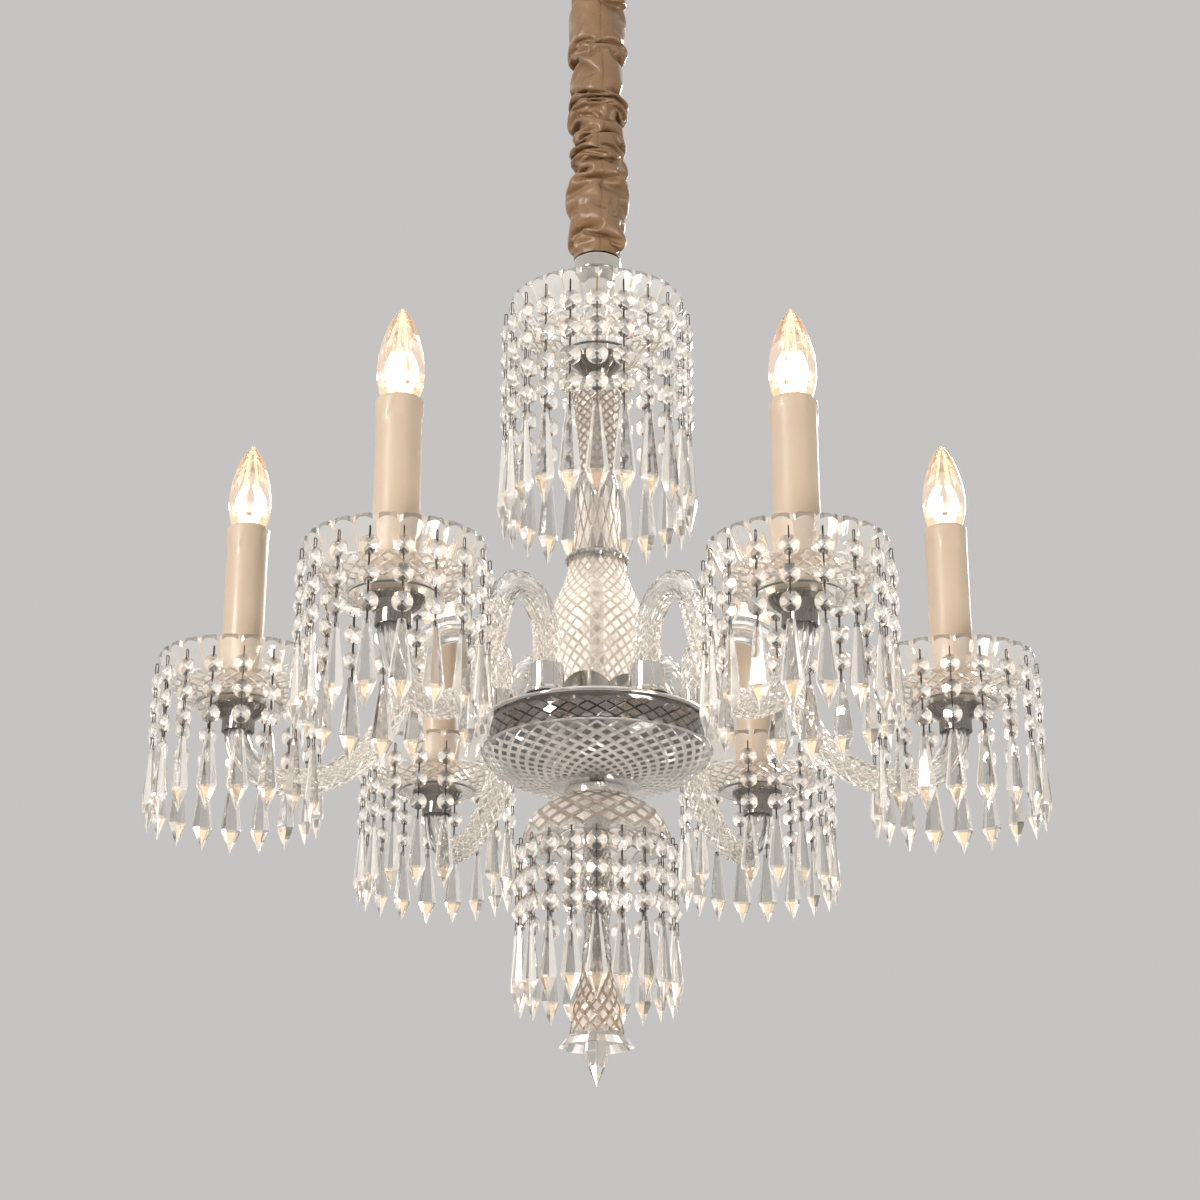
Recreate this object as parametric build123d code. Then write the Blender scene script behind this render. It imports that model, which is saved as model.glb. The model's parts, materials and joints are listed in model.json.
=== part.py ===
"""Crystal chandelier with six candle arms, hung by a sleeved chain from a ceiling rose.

Millimetres, +Z up. The origin is the centre of the ceiling plate's top face, so the whole
fixture hangs below z = 0. Heights of the glass stack are given above the hub plate's top
face, and up() turns them into heights in the part's frame.
"""

import math
import os

from build123d import *

# ---------------------------------------------------------------- driving dimensions

ARM_COUNT = 6
CANDLE_RADIUS = 288.0  # candle axis to stem axis
HUB_Z = -794.0  # hub plate's top face below the ceiling

# ceiling fitting
PLATE_R = 57.5
PLATE_T = 3.0
FLANGE_DEPTH = 20.0
FLANGE_T = 2.0
BOLT_PCD = 80.0
BOLT_HOLE_R = 2.75
BOLT_COUNT = 3
ROSE_R = 60.0
ROSE_T = 1.5
ROSE_DEPTH = 60.0
ROSE_MOUTH_R = 36.0
ROSE_RIM_GAP = 1.0
ROSE_SCREW_Z = -10.0
ROSE_SCREW_R = 2.0
SCREW_HEAD_R = 4.5
SCREW_HEAD_LENGTH = 5.0

# hook, chain and loop
HOOK_WIRE_R = 3.5
HOOK_EYE_R = 10.0  # to the middle of the wire
HOOK_EYE_Z = -30.0
LINK_WIRE_R = 2.25
LINK_HALF_WIDTH = 7.75  # to the middle of the wire
LINK_COUNT = 10
LINK_GAP = 0.3
LOOP_WIRE_R = 3.0
LOOP_R = 9.0
LOOP_HEIGHT = 431.0  # centre of the loop
SLEEVE_R = 24.5
SLEEVE_WALL = 4.5
SLEEVE_TOP_Z = -50.0
SLEEVE_GAP = 0.6

# stem
ROD_R = 6.0
ROD_BORE_R = 4.2
ROD_CLEARANCE = 0.3
COLLAR_R = 20.5
COLLAR_TOP = 415.0
COLLAR_BOTTOM = 401.0
NECK_TUBE_R = 9.0
CROWN_FLOOR = 322.0  # underside of the crown dish
CROWN_RIM = 370.0
CROWN_RIM_R = 76.0
COLUMN_TOP = 302.0
COLUMN_BOTTOM = 142.0
RING_BOTTOM = 135.0
BALUSTER_FOOT = 5.0
HUB_PLATE_R = 92.0
HUB_PLATE_T = 4.0
DRUM_R = 86.0
DRUM_BOTTOM = -25.0
BOWL_RIM_R = 93.0
BOWL_RIM = -26.0
BOWL_BOTTOM = -57.0
BOWL_RING_BOTTOM = -65.0
DOME_RIM_R = 60.5
DOME_RIM = -104.0
LOWER_STEM_BOTTOM = -195.0
BELL_LIP = -262.0
BELL_LIP_R = 29.0
GLASS_T = 3.5

# arms
ARM_TUBE_R = 11.0
ARM_BORE_R = 4.5
ARM_ROOT_RADIUS = 79.0
ARM_ROOT_HEIGHT = 2.0
ARCH_BEND_R = 35.0
ARCH_SPRING_HEIGHT = 44.0  # where the rising tube starts to bend over
ARM_DESCENT_DEG = 70.0
ARM_LOW_HEIGHT = -52.0
ARM_END_BEND_R = 44.0
ARM_END_HEIGHT = 0.0
SOCKET_R = 14.0
SOCKET_HEIGHT = 24.0
TUBE_FIT = 0.25

# candle
DISH_FLOOR = 12.0
DISH_FLOOR_R = 33.0
DISH_RIM = 50.0
DISH_RIM_R = 66.5
DISH_T = 3.0
CUP_R = 22.5
STALK_R = 5.0
SOCKET_SHELL_R = 13.0
BULB_CAP_R = 6.9
BULB_SEAT_R = 7.1
CANDLE_R = 17.0
CANDLE_WALL = 1.8
CANDLE_TOP = 166.0
BULB_CAP_BOTTOM = 130.0
BULB_NECK = 156.0
BULB_TIP = 242.0
BULB_R = 17.7
BULB_GLASS_T = 0.8

# crystal strands: octagon beads on pins, each strand ending in a long drop
WIRE_T = 0.8
BEAD_SIDES = 8
BEAD_DEPTH_SHARE = 0.48  # half a bead's thickness as a share of its radius
DROP_CAP = 3.0  # a drop's top above its hole
DROP_SIDES = 6
DROP_WIDEST = 0.68  # share of the drop's length from its top to its widest section
DROP_TOP_SHARE = 0.34  # top section's size as a share of the widest
DROP_DEPTH_SHARE = 0.62  # thickness as a share of the width

# hanging drop below the bell
EYE_HEIGHT = -209.0
EYE_R = 3.0
EYE_WIRE_R = 0.9
RING_R = 4.5
RING_WIRE_R = 0.8
RING_GAP = 0.1
DROP_HOLE_GAP = 0.6
END_DROP_HALF_WIDTH = 11.6
END_DROP_TAPER = 24.0  # its widest section above its tip
END_DROP_TIP = -292.0


# ---------------------------------------------------------------- helpers


def up(height):
    """Height above the hub plate's top face as a z in the part's frame."""
    return HUB_Z + height


def turned(points_out, points_in):
    """A body of revolution between an outer and an inner profile of (radius, height) points.

    Both profiles run the same way. Each is one smooth curve, and straight edges join their ends.
    """
    outer = Spline([(r, 0, up(h)) for r, h in points_out])
    inner = Spline([(r, 0, up(h)) for r, h in points_in])
    ends = [Line(outer @ 0, inner @ 0), Line(outer @ 1, inner @ 1)]
    return revolve(make_face(Wire([outer, ends[1], inner, ends[0]])), Axis.Z)


def spun(*points):
    """A body of revolution from a closed straight-sided profile of (radius, height) points."""
    corners = [(r, 0, up(h)) for r, h in points]
    return revolve(make_face(Polyline(*corners, close=True)), Axis.Z)


def tube(radius, bore, bottom, top):
    """A plain tube between two heights."""
    return spun((bore, bottom), (radius, bottom), (radius, top), (bore, top))


def scallop_cutter(peak_r, valley_r, count, bottom, top):
    """A prism whose outline is a ring of outward arcs, for trimming a rim to scallops."""
    step = 2 * math.pi / count
    arcs = []
    for i in range(count):
        start, end = (i - 0.5) * step, (i + 0.5) * step
        arcs.append(
            ThreePointArc(
                (valley_r * math.cos(start), valley_r * math.sin(start)),
                (peak_r * math.cos(i * step), peak_r * math.sin(i * step)),
                (valley_r * math.cos(end), valley_r * math.sin(end)),
            )
        )
    outline = make_face(Wire(arcs))
    return Pos(0, 0, up(bottom)) * extrude(outline, top - bottom)


def faceted(rings):
    """A flat-faced solid through rings of points. A ring of one point is an apex."""
    faces = []
    for above, below in zip(rings, rings[1:]):
        count = max(len(above), len(below))
        for i in range(count):
            corners = [above[i % len(above)], above[(i + 1) % len(above)]]
            corners += [below[(i + 1) % len(below)], below[i % len(below)]]
            distinct = list(dict.fromkeys(corners))
            faces.append(make_face(Polyline(*distinct, close=True)))
    for ring in (rings[0], rings[-1]):
        if len(ring) > 1:
            faces.append(make_face(Polyline(*ring, close=True)))
    return Solid(Shell(faces))


def polygon(sides, half_x, half_y, z):
    """A flat polygon ring with an edge, not a corner, at its left and right."""
    turn = math.pi / sides
    points = []
    for i in range(sides):
        angle = turn + 2 * math.pi * i / sides
        points.append((half_x * math.cos(angle), half_y * math.sin(angle), z))
    return points


def save(name, shape):
    """Writes one node."""
    solids = shape.solids() if hasattr(shape, "solids") else shape
    solids = list(solids)
    part = solids[0] if len(solids) == 1 else Compound(children=solids)
    export_step(part, f"parts/{name}.step")


def around(shape, angle):
    """The shape turned about the stem's axis."""
    return Rot(0, 0, angle) * shape


# ---------------------------------------------------------------- ceiling fitting


def ceiling_plate():
    """Round backing plate with a turned-down flange for the rose's screws."""
    plate = Pos(0, 0, -PLATE_T / 2) * Cylinder(PLATE_R, PLATE_T)
    flange = Pos(0, 0, -FLANGE_DEPTH / 2) * (
        Cylinder(PLATE_R, FLANGE_DEPTH) - Cylinder(PLATE_R - FLANGE_T, FLANGE_DEPTH)
    )
    plate += flange
    plate -= Cylinder(HOOK_WIRE_R + 0.05, 4 * PLATE_T)
    for i in range(BOLT_COUNT):
        plate -= around(Pos(0, BOLT_PCD / 2, 0) * Cylinder(BOLT_HOLE_R, 4 * PLATE_T), i * 120)
        plate -= screw_axis(i, PLATE_R) * Cylinder(ROSE_SCREW_R + 0.05, 4 * FLANGE_T)
    return plate


def screw_axis(index, radius):
    """Place of a rose screw, with the screw's axis along its own Z."""
    return Rot(0, 0, 30 + 120 * index) * Pos(radius, 0, ROSE_SCREW_Z) * Rot(0, 90, 0)


def rose_screws():
    """Three thumbscrews that hold the rose to the plate's flange."""
    inner_end = PLATE_R - 2 * FLANGE_T
    head_start = ROSE_R + 0.3
    screws = []
    for i in range(BOLT_COUNT):
        shank_length = head_start - inner_end
        shank = screw_axis(i, inner_end + shank_length / 2) * Cylinder(ROSE_SCREW_R, shank_length)
        head = screw_axis(i, head_start + SCREW_HEAD_LENGTH / 2) * Cylinder(
            SCREW_HEAD_R, SCREW_HEAD_LENGTH
        )
        screws.append(shank + head)
    return Compound(children=screws)


def ceiling_rose():
    """Spun metal cup that hides the plate, the hook and the wiring."""
    depth = ROSE_DEPTH
    outer = [(ROSE_R, -16), (57.5, -28), (52.5, -41), (46.5, -52), (ROSE_MOUTH_R + 4, -depth)]
    rim = -ROSE_RIM_GAP
    outer_curve = Spline([(r, 0, z) for r, z in outer])
    inner_curve = Spline([(r - ROSE_T, 0, z + 0.4) for r, z in outer])
    profile = Wire(
        [
            Line((ROSE_R, 0, rim), outer_curve @ 0),
            outer_curve,
            Line(outer_curve @ 1, (ROSE_MOUTH_R, 0, -depth)),
            Line((ROSE_MOUTH_R, 0, -depth), (ROSE_MOUTH_R, 0, -depth + ROSE_T)),
            Line((ROSE_MOUTH_R, 0, -depth + ROSE_T), inner_curve @ 1),
            inner_curve,
            Line(inner_curve @ 0, (ROSE_R - ROSE_T, 0, rim)),
            Line((ROSE_R - ROSE_T, 0, rim), (ROSE_R, 0, rim)),
        ]
    )
    rose = revolve(make_face(profile), Axis.Z)
    slot_width = 2 * ROSE_SCREW_R + 0.6
    slot_end = ROSE_SCREW_Z - slot_width / 2
    for i in range(BOLT_COUNT):
        slot = Pos(ROSE_R, 0, slot_end / 2) * Box(10, slot_width, -slot_end)
        rose -= around(slot, 30 + 120 * i)
    return rose


def terminal_block():
    """Three-way terminal block under the plate."""
    length, width, height = 30.0, 14.0, 12.0
    block = Box(length, width, height)
    for x in (-10, 0, 10):
        block -= Pos(x, 0, 0) * Rot(90, 0, 0) * Cylinder(2.0, 2 * width)
    return Pos(0, -32, -PLATE_T - height / 2) * block


def ceiling_hook():
    """Screwed hook with a hexagon nut that clamps it to the plate."""
    shank_end = HOOK_EYE_Z + HOOK_EYE_R
    shank = Pos(0, 0, shank_end / 2) * Cylinder(HOOK_WIRE_R, -shank_end)
    elbow = Pos(0, 0, shank_end) * Sphere(HOOK_WIRE_R)
    start = Plane(origin=(0, 0, shank_end), x_dir=(0, 1, 0), z_dir=(-1, 0, 0))
    curl = revolve(
        start * Circle(HOOK_WIRE_R), Axis((0, 0, HOOK_EYE_Z), (0, -1, 0)), revolution_arc=300
    )
    nut_height = 5.0
    nut = extrude(RegularPolygon(7.5, 6) - Circle(HOOK_WIRE_R + 0.05), nut_height)
    nut = Pos(0, 0, -PLATE_T - nut_height) * nut
    return Compound(children=[shank + elbow + curl, nut])


# ---------------------------------------------------------------- chain

SADDLE_Z = HOOK_EYE_Z - HOOK_EYE_R + HOOK_WIRE_R  # inside of the hook's bend
CHAIN_END_Z = up(LOOP_HEIGHT) + LOOP_R - LOOP_WIRE_R - LINK_GAP  # last link's inner bottom
LINK_INNER_LENGTH = (SADDLE_Z + LINK_GAP - CHAIN_END_Z + LINK_GAP * (LINK_COUNT - 1)) / LINK_COUNT
LINK_PITCH = LINK_INNER_LENGTH - LINK_GAP


def link_centre(index):
    """Height of a link's middle."""
    return SADDLE_Z + LINK_GAP - LINK_INNER_LENGTH / 2 - index * LINK_PITCH


def chain_link(index):
    """One welded oval link. Odd links stand across even ones."""
    half = LINK_INNER_LENGTH / 2 + LINK_WIRE_R - LINK_HALF_WIDTH
    wire = Circle(LINK_WIRE_R)
    side = Pos(LINK_HALF_WIDTH, 0, 0) * Cylinder(LINK_WIRE_R, 2 * half)
    bend = revolve(
        Pos(LINK_HALF_WIDTH, 0, half) * wire, Axis((0, 0, half), (0, 1, 0)), revolution_arc=-180
    )
    link = side + bend + Rot(0, 180, 0) * side + Rot(0, 180, 0) * bend
    return Pos(0, 0, link_centre(index)) * Rot(0, 0, 90 * ((index + 1) % 2)) * link


def chain_sleeve():
    """Gathered fabric sleeve over the chain, as a plain tube of its real size."""
    bottom = COLLAR_TOP + SLEEVE_GAP
    return tube(SLEEVE_R, SLEEVE_R - SLEEVE_WALL, bottom, SLEEVE_TOP_Z - HUB_Z)


def stem_loop():
    """Loop that the last link holds, with the nipple that screws into the rod."""
    ring = Pos(0, 0, up(LOOP_HEIGHT)) * Rot(0, 90, 0) * Torus(LOOP_R, LOOP_WIRE_R)
    shoulder = spun((0, COLLAR_TOP), (8, COLLAR_TOP), (6, COLLAR_TOP + 5), (0, COLLAR_TOP + 5))
    nipple = spun((0, COLLAR_TOP - 12), (4, COLLAR_TOP - 12), (4, COLLAR_TOP), (0, COLLAR_TOP))
    return ring + shoulder + nipple


# ---------------------------------------------------------------- stem


def central_rod():
    """Hollow threaded rod that every stem piece is strung on."""
    return tube(ROD_R, ROD_BORE_R, LOWER_STEM_BOTTOM - 10, COLLAR_TOP)


BORE_R = ROD_R + ROD_CLEARANCE


def top_collar():
    """Chromed cap under the sleeve."""
    cap = tube(COLLAR_R, BORE_R, COLLAR_BOTTOM, COLLAR_TOP)
    rim = cap.edges().filter_by(GeomType.CIRCLE).filter_by(lambda e: e.radius > COLLAR_R - 1)
    return fillet(rim, 2.0)


def neck_tube():
    """Chromed spacer between the collar and the crown dish."""
    return tube(NECK_TUBE_R, BORE_R, CROWN_FLOOR + 4, COLLAR_BOTTOM)


def crown_cup():
    """Metal seat under the crown dish."""
    top, bottom = CROWN_FLOOR, COLUMN_TOP
    return spun(
        (BORE_R, bottom), (9, bottom), (13, bottom + 6), (22, top - 4), (23.5, top), (BORE_R, top)
    )


def open_dish(rim_r, rim, floor_r, floor, thickness, bore_r, scallops):
    """A cut-glass dish with a flat floor, a flared wall and a scalloped rim."""
    depth = rim - floor
    outer = [
        (floor_r, floor),
        (floor_r + 0.40 * (rim_r - floor_r), floor + 0.16 * depth),
        (floor_r + 0.72 * (rim_r - floor_r), floor + 0.47 * depth),
        (floor_r + 0.88 * (rim_r - floor_r), floor + 0.78 * depth),
        (rim_r + 2.0, rim + 1.0),
    ]
    inner = [
        (floor_r - 1.5, floor + thickness),
        (floor_r + 0.34 * (rim_r - floor_r), floor + 0.16 * depth + thickness),
        (floor_r + 0.66 * (rim_r - floor_r), floor + 0.50 * depth + 0.5 * thickness),
        (floor_r + 0.81 * (rim_r - floor_r), floor + 0.81 * depth),
        (rim_r - 0.8 * thickness + 2.0, rim + 1.5),
    ]
    outer_curve = Spline([(r, 0, up(h)) for r, h in outer])
    inner_curve = Spline([(r, 0, up(h)) for r, h in inner])
    bottom_corner = (bore_r, 0, up(floor))
    top_corner = (bore_r, 0, up(floor + thickness))
    profile = Wire(
        [
            Line(bottom_corner, outer_curve @ 0),
            outer_curve,
            Line(outer_curve @ 1, inner_curve @ 1),
            inner_curve,
            Line(inner_curve @ 0, top_corner),
            Line(top_corner, bottom_corner),
        ]
    )
    dish = revolve(make_face(profile), Axis.Z)
    valley_r = rim_r * math.cos(math.pi / scallops) - 3.0
    cutter = scallop_cutter(rim_r, valley_r, scallops, floor - 1, rim + 5)
    return (dish & cutter).solid()


def crown_dish():
    """Large scalloped dish at the top of the stem."""
    return open_dish(CROWN_RIM_R, CROWN_RIM, 32, CROWN_FLOOR, 4.0, BORE_R, scallops=30)


def column_glass():
    """Slender upper column with a domed shoulder and a fluted foot."""
    top, foot = COLUMN_TOP, COLUMN_BOTTOM
    outer = [(9, top), (17, top - 2.5), (21, top - 9), (21, top - 28), (19.4, top - 70)]
    outer += [(18.8, top - 112), (19.4, foot + 20), (21, foot)]
    inner = [(BORE_R, top - 4), (13, top - 6.5), (17, top - 13), (17, top - 29)]
    inner += [(15.6, top - 70), (15, top - 112), (15.6, foot + 20), (17, foot)]
    column = turned(outer, inner)
    flute_count = 16
    flute_length = 52.0
    flute = Pos(23.3, 0, up(foot + 4 + flute_length / 2)) * Cylinder(4.4, flute_length)
    for i in range(flute_count):
        column -= around(flute, i * 360 / flute_count)
    return column


def column_ring():
    """Silvered ring between the column and the baluster."""
    bottom, top = RING_BOTTOM, COLUMN_BOTTOM
    return spun(
        (BORE_R, bottom), (24, bottom), (26, bottom + 2), (26, top - 2), (24.5, top), (BORE_R, top)
    )


def baluster_glass():
    """Vase-shaped hollow glass body above the hub."""
    top, foot = RING_BOTTOM, BALUSTER_FOOT
    outer = [(23.5, top), (26, top - 14), (33, top - 31), (38, top - 45), (39, top - 55)]
    outer += [(36.5, foot + 55), (31.5, foot + 35), (28, foot + 15), (27.5, foot)]
    inner = [(r - 4.5, h) for r, h in outer]
    return turned(outer, inner)


def petal_cup():
    """Silvered cup with petals around the baluster's foot."""
    foot = BALUSTER_FOOT
    seat = spun((BORE_R, 0), (30, 0), (30, foot), (BORE_R, foot))
    wall = spun((29, 0), (31, 0), (35.5, 32), (34, 32), (29.3, 3))
    petals = scallop_cutter(35.4, 32, 8, -1, 34)
    return seat + (wall & petals)


def hub_plate():
    """Silvered disc that carries the arm sockets."""
    plate = tube(HUB_PLATE_R, BORE_R, -HUB_PLATE_T, 0)
    rim = plate.edges().filter_by(GeomType.CIRCLE).filter_by(lambda e: e.radius > HUB_PLATE_R - 1)
    plate = fillet(rim, 1.9)
    wire_hole = Pos(ARM_ROOT_RADIUS, 0, up(0)) * Cylinder(ARM_BORE_R, 4 * HUB_PLATE_T)
    for i in range(ARM_COUNT):
        plate -= around(wire_hole, arm_angle(i))
    return plate


def hub_drum():
    """Bright cylindrical cover under the plate, around the wiring."""
    wall = 2.0
    return spun(
        (BORE_R, DRUM_BOTTOM),
        (DRUM_R, DRUM_BOTTOM),
        (DRUM_R, -HUB_PLATE_T),
        (DRUM_R - wall, -HUB_PLATE_T),
        (DRUM_R - wall, DRUM_BOTTOM + wall),
        (BORE_R, DRUM_BOTTOM + wall),
    )


def bowl_glass():
    """Shallow cut-glass bowl that closes the hub from below."""
    rim, bottom, t = BOWL_RIM, BOWL_BOTTOM, GLASS_T
    outer_curve = Spline([(r, 0, up(h)) for r, h in BOWL_PROFILE])
    inner = [(r - 2.0, h + t) for r, h in BOWL_PROFILE[:-1]] + [(24, bottom + t)]
    inner_curve = Spline([(r, 0, up(h)) for r, h in inner])
    rim_inner = (BOWL_RIM_R - t, 0, up(rim))
    profile = Wire(
        [
            Line((BORE_R, 0, up(bottom)), outer_curve @ 1),
            outer_curve,
            Line(outer_curve @ 0, rim_inner),
            Line(rim_inner, inner_curve @ 0),
            inner_curve,
            Line(inner_curve @ 1, (BORE_R, 0, up(bottom + t))),
            Line((BORE_R, 0, up(bottom + t)), (BORE_R, 0, up(bottom))),
        ]
    )
    return revolve(make_face(profile), Axis.Z)


BOWL_PROFILE = [
    (BOWL_RIM_R, BOWL_RIM),
    (88, BOWL_RIM - 9.5),
    (75, BOWL_RIM - 19.5),
    (55, BOWL_RIM - 27),
    (34, BOWL_BOTTOM),
]


def bowl_ring():
    """Chromed ring between the bowl and the dome."""
    bottom, top = BOWL_RING_BOTTOM, BOWL_BOTTOM
    return spun(
        (BORE_R, bottom), (25, bottom), (26, bottom + 1), (26, top - 1), (25, top), (BORE_R, top)
    )


def dome_glass():
    """Cut-glass dome, open below, that carries the lower strands."""
    top, rim, t = BOWL_RING_BOTTOM, DOME_RIM, GLASS_T
    outer = [(23, top), (37, top - 4), (49, top - 13), (57, top - 26), (DOME_RIM_R, rim)]
    inner = [(21, top - t), (35, top - 4 - t), (46, top - 14), (53.5, top - 27)]
    inner += [(DOME_RIM_R - t, rim)]
    outer_curve = Spline([(r, 0, up(h)) for r, h in outer])
    inner_curve = Spline([(r, 0, up(h)) for r, h in inner])
    profile = Wire(
        [
            Line((BORE_R, 0, up(top)), outer_curve @ 0),
            outer_curve,
            Line(outer_curve @ 1, inner_curve @ 1),
            inner_curve,
            Line(inner_curve @ 0, (BORE_R, 0, up(top - t))),
            Line((BORE_R, 0, up(top - t)), (BORE_R, 0, up(top))),
        ]
    )
    return revolve(make_face(profile), Axis.Z)


def lower_stem():
    """Glass spindle around the rod, inside the lower strands."""
    top, foot = BOWL_RING_BOTTOM - GLASS_T, LOWER_STEM_BOTTOM
    outer = [(13, top), (10, top - 30), (13.5, top - 62), (10, top - 100), (12, foot)]
    stem = Spline([(r, 0, up(h)) for r, h in outer])
    profile = Wire(
        [
            stem,
            Line(stem @ 1, (BORE_R, 0, up(foot))),
            Line((BORE_R, 0, up(foot)), (BORE_R, 0, up(top))),
            Line((BORE_R, 0, up(top)), stem @ 0),
        ]
    )
    return revolve(make_face(profile), Axis.Z)


def finial_bell():
    """Flared glass bell that closes the stem from below."""
    top, lip, t = LOWER_STEM_BOTTOM, BELL_LIP, 3.0
    outer = [(11.5, top), (12, top - 14), (14.5, top - 32), (20, top - 52), (BELL_LIP_R, lip)]
    inner = [(8.5, top - t), (9, top - 15), (11.5, top - 33), (17, top - 54), (26.5, lip)]
    outer_curve = Spline([(r, 0, up(h)) for r, h in outer])
    inner_curve = Spline([(r, 0, up(h)) for r, h in inner])
    profile = Wire(
        [
            Line((BORE_R, 0, up(top)), outer_curve @ 0),
            outer_curve,
            Line(outer_curve @ 1, inner_curve @ 1),
            inner_curve,
            Line(inner_curve @ 0, (BORE_R, 0, up(top - t))),
            Line((BORE_R, 0, up(top - t)), (BORE_R, 0, up(top))),
        ]
    )
    return revolve(make_face(profile), Axis.Z)


# ---------------------------------------------------------------- drop below the bell

EYE_LOW = EYE_HEIGHT - EYE_R  # middle of the eye's lowest wire
RING_HEIGHT = EYE_LOW + EYE_WIRE_R + RING_WIRE_R + RING_GAP - RING_R
RING_LOW = RING_HEIGHT - RING_R
HOLE_R = 1.6
HOLE_HEIGHT = RING_LOW + RING_WIRE_R + DROP_HOLE_GAP - HOLE_R


def finial_nut():
    """Nut that clamps the stack, plugging the rod's end, with an eye for the last drop."""
    top, foot = LOWER_STEM_BOTTOM - 3.0, LOWER_STEM_BOTTOM - 11.0
    body = Pos(0, 0, up(foot)) * extrude(RegularPolygon(7.6, 6, major_radius=True), top - foot)
    body -= Pos(0, 0, up(LOWER_STEM_BOTTOM - 5)) * Cylinder(ROD_R + 0.02, 10)
    eye = Pos(0, 0, up(EYE_HEIGHT)) * Rot(90, 0, 0) * Torus(EYE_R, EYE_WIRE_R)
    return body + eye


def finial_ring():
    """Closed wire ring through the eye and the drop's hole."""
    return Pos(0, 0, up(RING_HEIGHT)) * Rot(0, 90, 0) * Torus(RING_R, RING_WIRE_R)


def finial_drop():
    """Large pointed crystal that hangs out of the bell."""
    top = HOLE_HEIGHT + 3.4
    half = END_DROP_HALF_WIDTH
    widest = END_DROP_TIP + END_DROP_TAPER
    drop = faceted(
        [
            polygon(BEAD_SIDES, 3.2, 3.2 * DROP_DEPTH_SHARE, up(top)),
            polygon(BEAD_SIDES, half, half * DROP_DEPTH_SHARE, up(widest)),
            [(0, 0, up(END_DROP_TIP))],
        ]
    )
    return drop - Pos(0, 0, up(HOLE_HEIGHT)) * Rot(90, 0, 0) * Cylinder(HOLE_R, 12)


# ---------------------------------------------------------------- arms and candles


def arm_angle(index):
    """Direction of an arm about the stem, with two arms to the front and two to the back."""
    return 360 / ARM_COUNT * index


def arm_path():
    """S-curve of the arm: up from its socket, over the arch, down and out, and up again."""
    descent = math.radians(ARM_DESCENT_DEG)
    sin_d, cos_d = math.sin(descent), math.cos(descent)
    arch_centre = ARM_ROOT_RADIUS + ARCH_BEND_R
    arch_end = (arch_centre + ARCH_BEND_R * sin_d, ARCH_SPRING_HEIGHT + ARCH_BEND_R * cos_d)
    across = CANDLE_RADIUS - ARM_END_BEND_R - arch_end[0]
    down = arch_end[1] - ARM_LOW_HEIGHT
    # straight run and swing radius that meet the lowest point level
    swing_r = (across * sin_d - down * cos_d) / (sin_d**2 - cos_d * (1 - cos_d))
    run = (across - swing_r * sin_d) / cos_d
    swing_start = (arch_end[0] + run * cos_d, arch_end[1] - run * sin_d)
    half = descent / 2
    swing_mid = (
        swing_start[0] + swing_r * (sin_d - math.sin(half)),
        ARM_LOW_HEIGHT + swing_r * (1 - math.cos(half)),
    )
    low = (CANDLE_RADIUS - ARM_END_BEND_R, ARM_LOW_HEIGHT)
    end_mid = (
        low[0] + ARM_END_BEND_R * math.sin(math.pi / 4),
        low[1] + ARM_END_BEND_R * (1 - math.cos(math.pi / 4)),
    )
    end_top = (CANDLE_RADIUS, ARM_LOW_HEIGHT + ARM_END_BEND_R)

    def at(point):
        return (point[0], 0, up(point[1]))

    return Wire(
        [
            Line(at((ARM_ROOT_RADIUS, ARM_ROOT_HEIGHT)), at((ARM_ROOT_RADIUS, ARCH_SPRING_HEIGHT))),
            ThreePointArc(
                at((ARM_ROOT_RADIUS, ARCH_SPRING_HEIGHT)),
                at((arch_centre, ARCH_SPRING_HEIGHT + ARCH_BEND_R)),
                at(arch_end),
            ),
            Line(at(arch_end), at(swing_start)),
            ThreePointArc(at(swing_start), at(swing_mid), at(low)),
            ThreePointArc(at(low), at(end_mid), at(end_top)),
            Line(at(end_top), at((CANDLE_RADIUS, ARM_END_HEIGHT))),
        ]
    )


def glass_arm():
    """Hollow glass arm along its S-curve, in the direction of +X."""
    path = arm_path()
    start = Plane(origin=path @ 0, z_dir=path % 0)
    section = start * (Circle(ARM_TUBE_R) - Circle(ARM_BORE_R))
    return sweep(section, path=path)


def arm_socket():
    """Bright cup on the hub plate that the arm's root is cemented into."""
    bore = ARM_TUBE_R + TUBE_FIT
    socket = spun(
        (ARM_BORE_R, 0),
        (SOCKET_R + 2, 0),
        (SOCKET_R + 2, 2),
        (SOCKET_R, 4),
        (SOCKET_R, SOCKET_HEIGHT - 1),
        (SOCKET_R - 0.8, SOCKET_HEIGHT),
        (bore, SOCKET_HEIGHT),
        (bore, ARM_ROOT_HEIGHT),
        (ARM_BORE_R, ARM_ROOT_HEIGHT),
    )
    return Pos(ARM_ROOT_RADIUS, 0, 0) * socket


def dish_cup():
    """Metal ferrule and cup that join the arm's end to the candle dish."""
    bore = ARM_TUBE_R + TUBE_FIT
    cup = spun(
        (STALK_R + 0.1, ARM_END_HEIGHT),
        (bore, ARM_END_HEIGHT),
        (bore, ARM_END_HEIGHT - 9),
        (bore + 2, ARM_END_HEIGHT - 9),
        (bore + 2, ARM_END_HEIGHT + 1),
        (CUP_R - 3, DISH_FLOOR - 6),
        (CUP_R, DISH_FLOOR - 2),
        (CUP_R, DISH_FLOOR),
        (STALK_R + 0.1, DISH_FLOOR),
    )
    return Pos(CANDLE_RADIUS, 0, 0) * cup


def candle_dish():
    """Scalloped drip dish under a candle."""
    dish = open_dish(
        DISH_RIM_R, DISH_RIM, DISH_FLOOR_R, DISH_FLOOR, DISH_T, STALK_R + 0.3, scallops=24
    )
    return Pos(CANDLE_RADIUS, 0, 0) * dish


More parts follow.
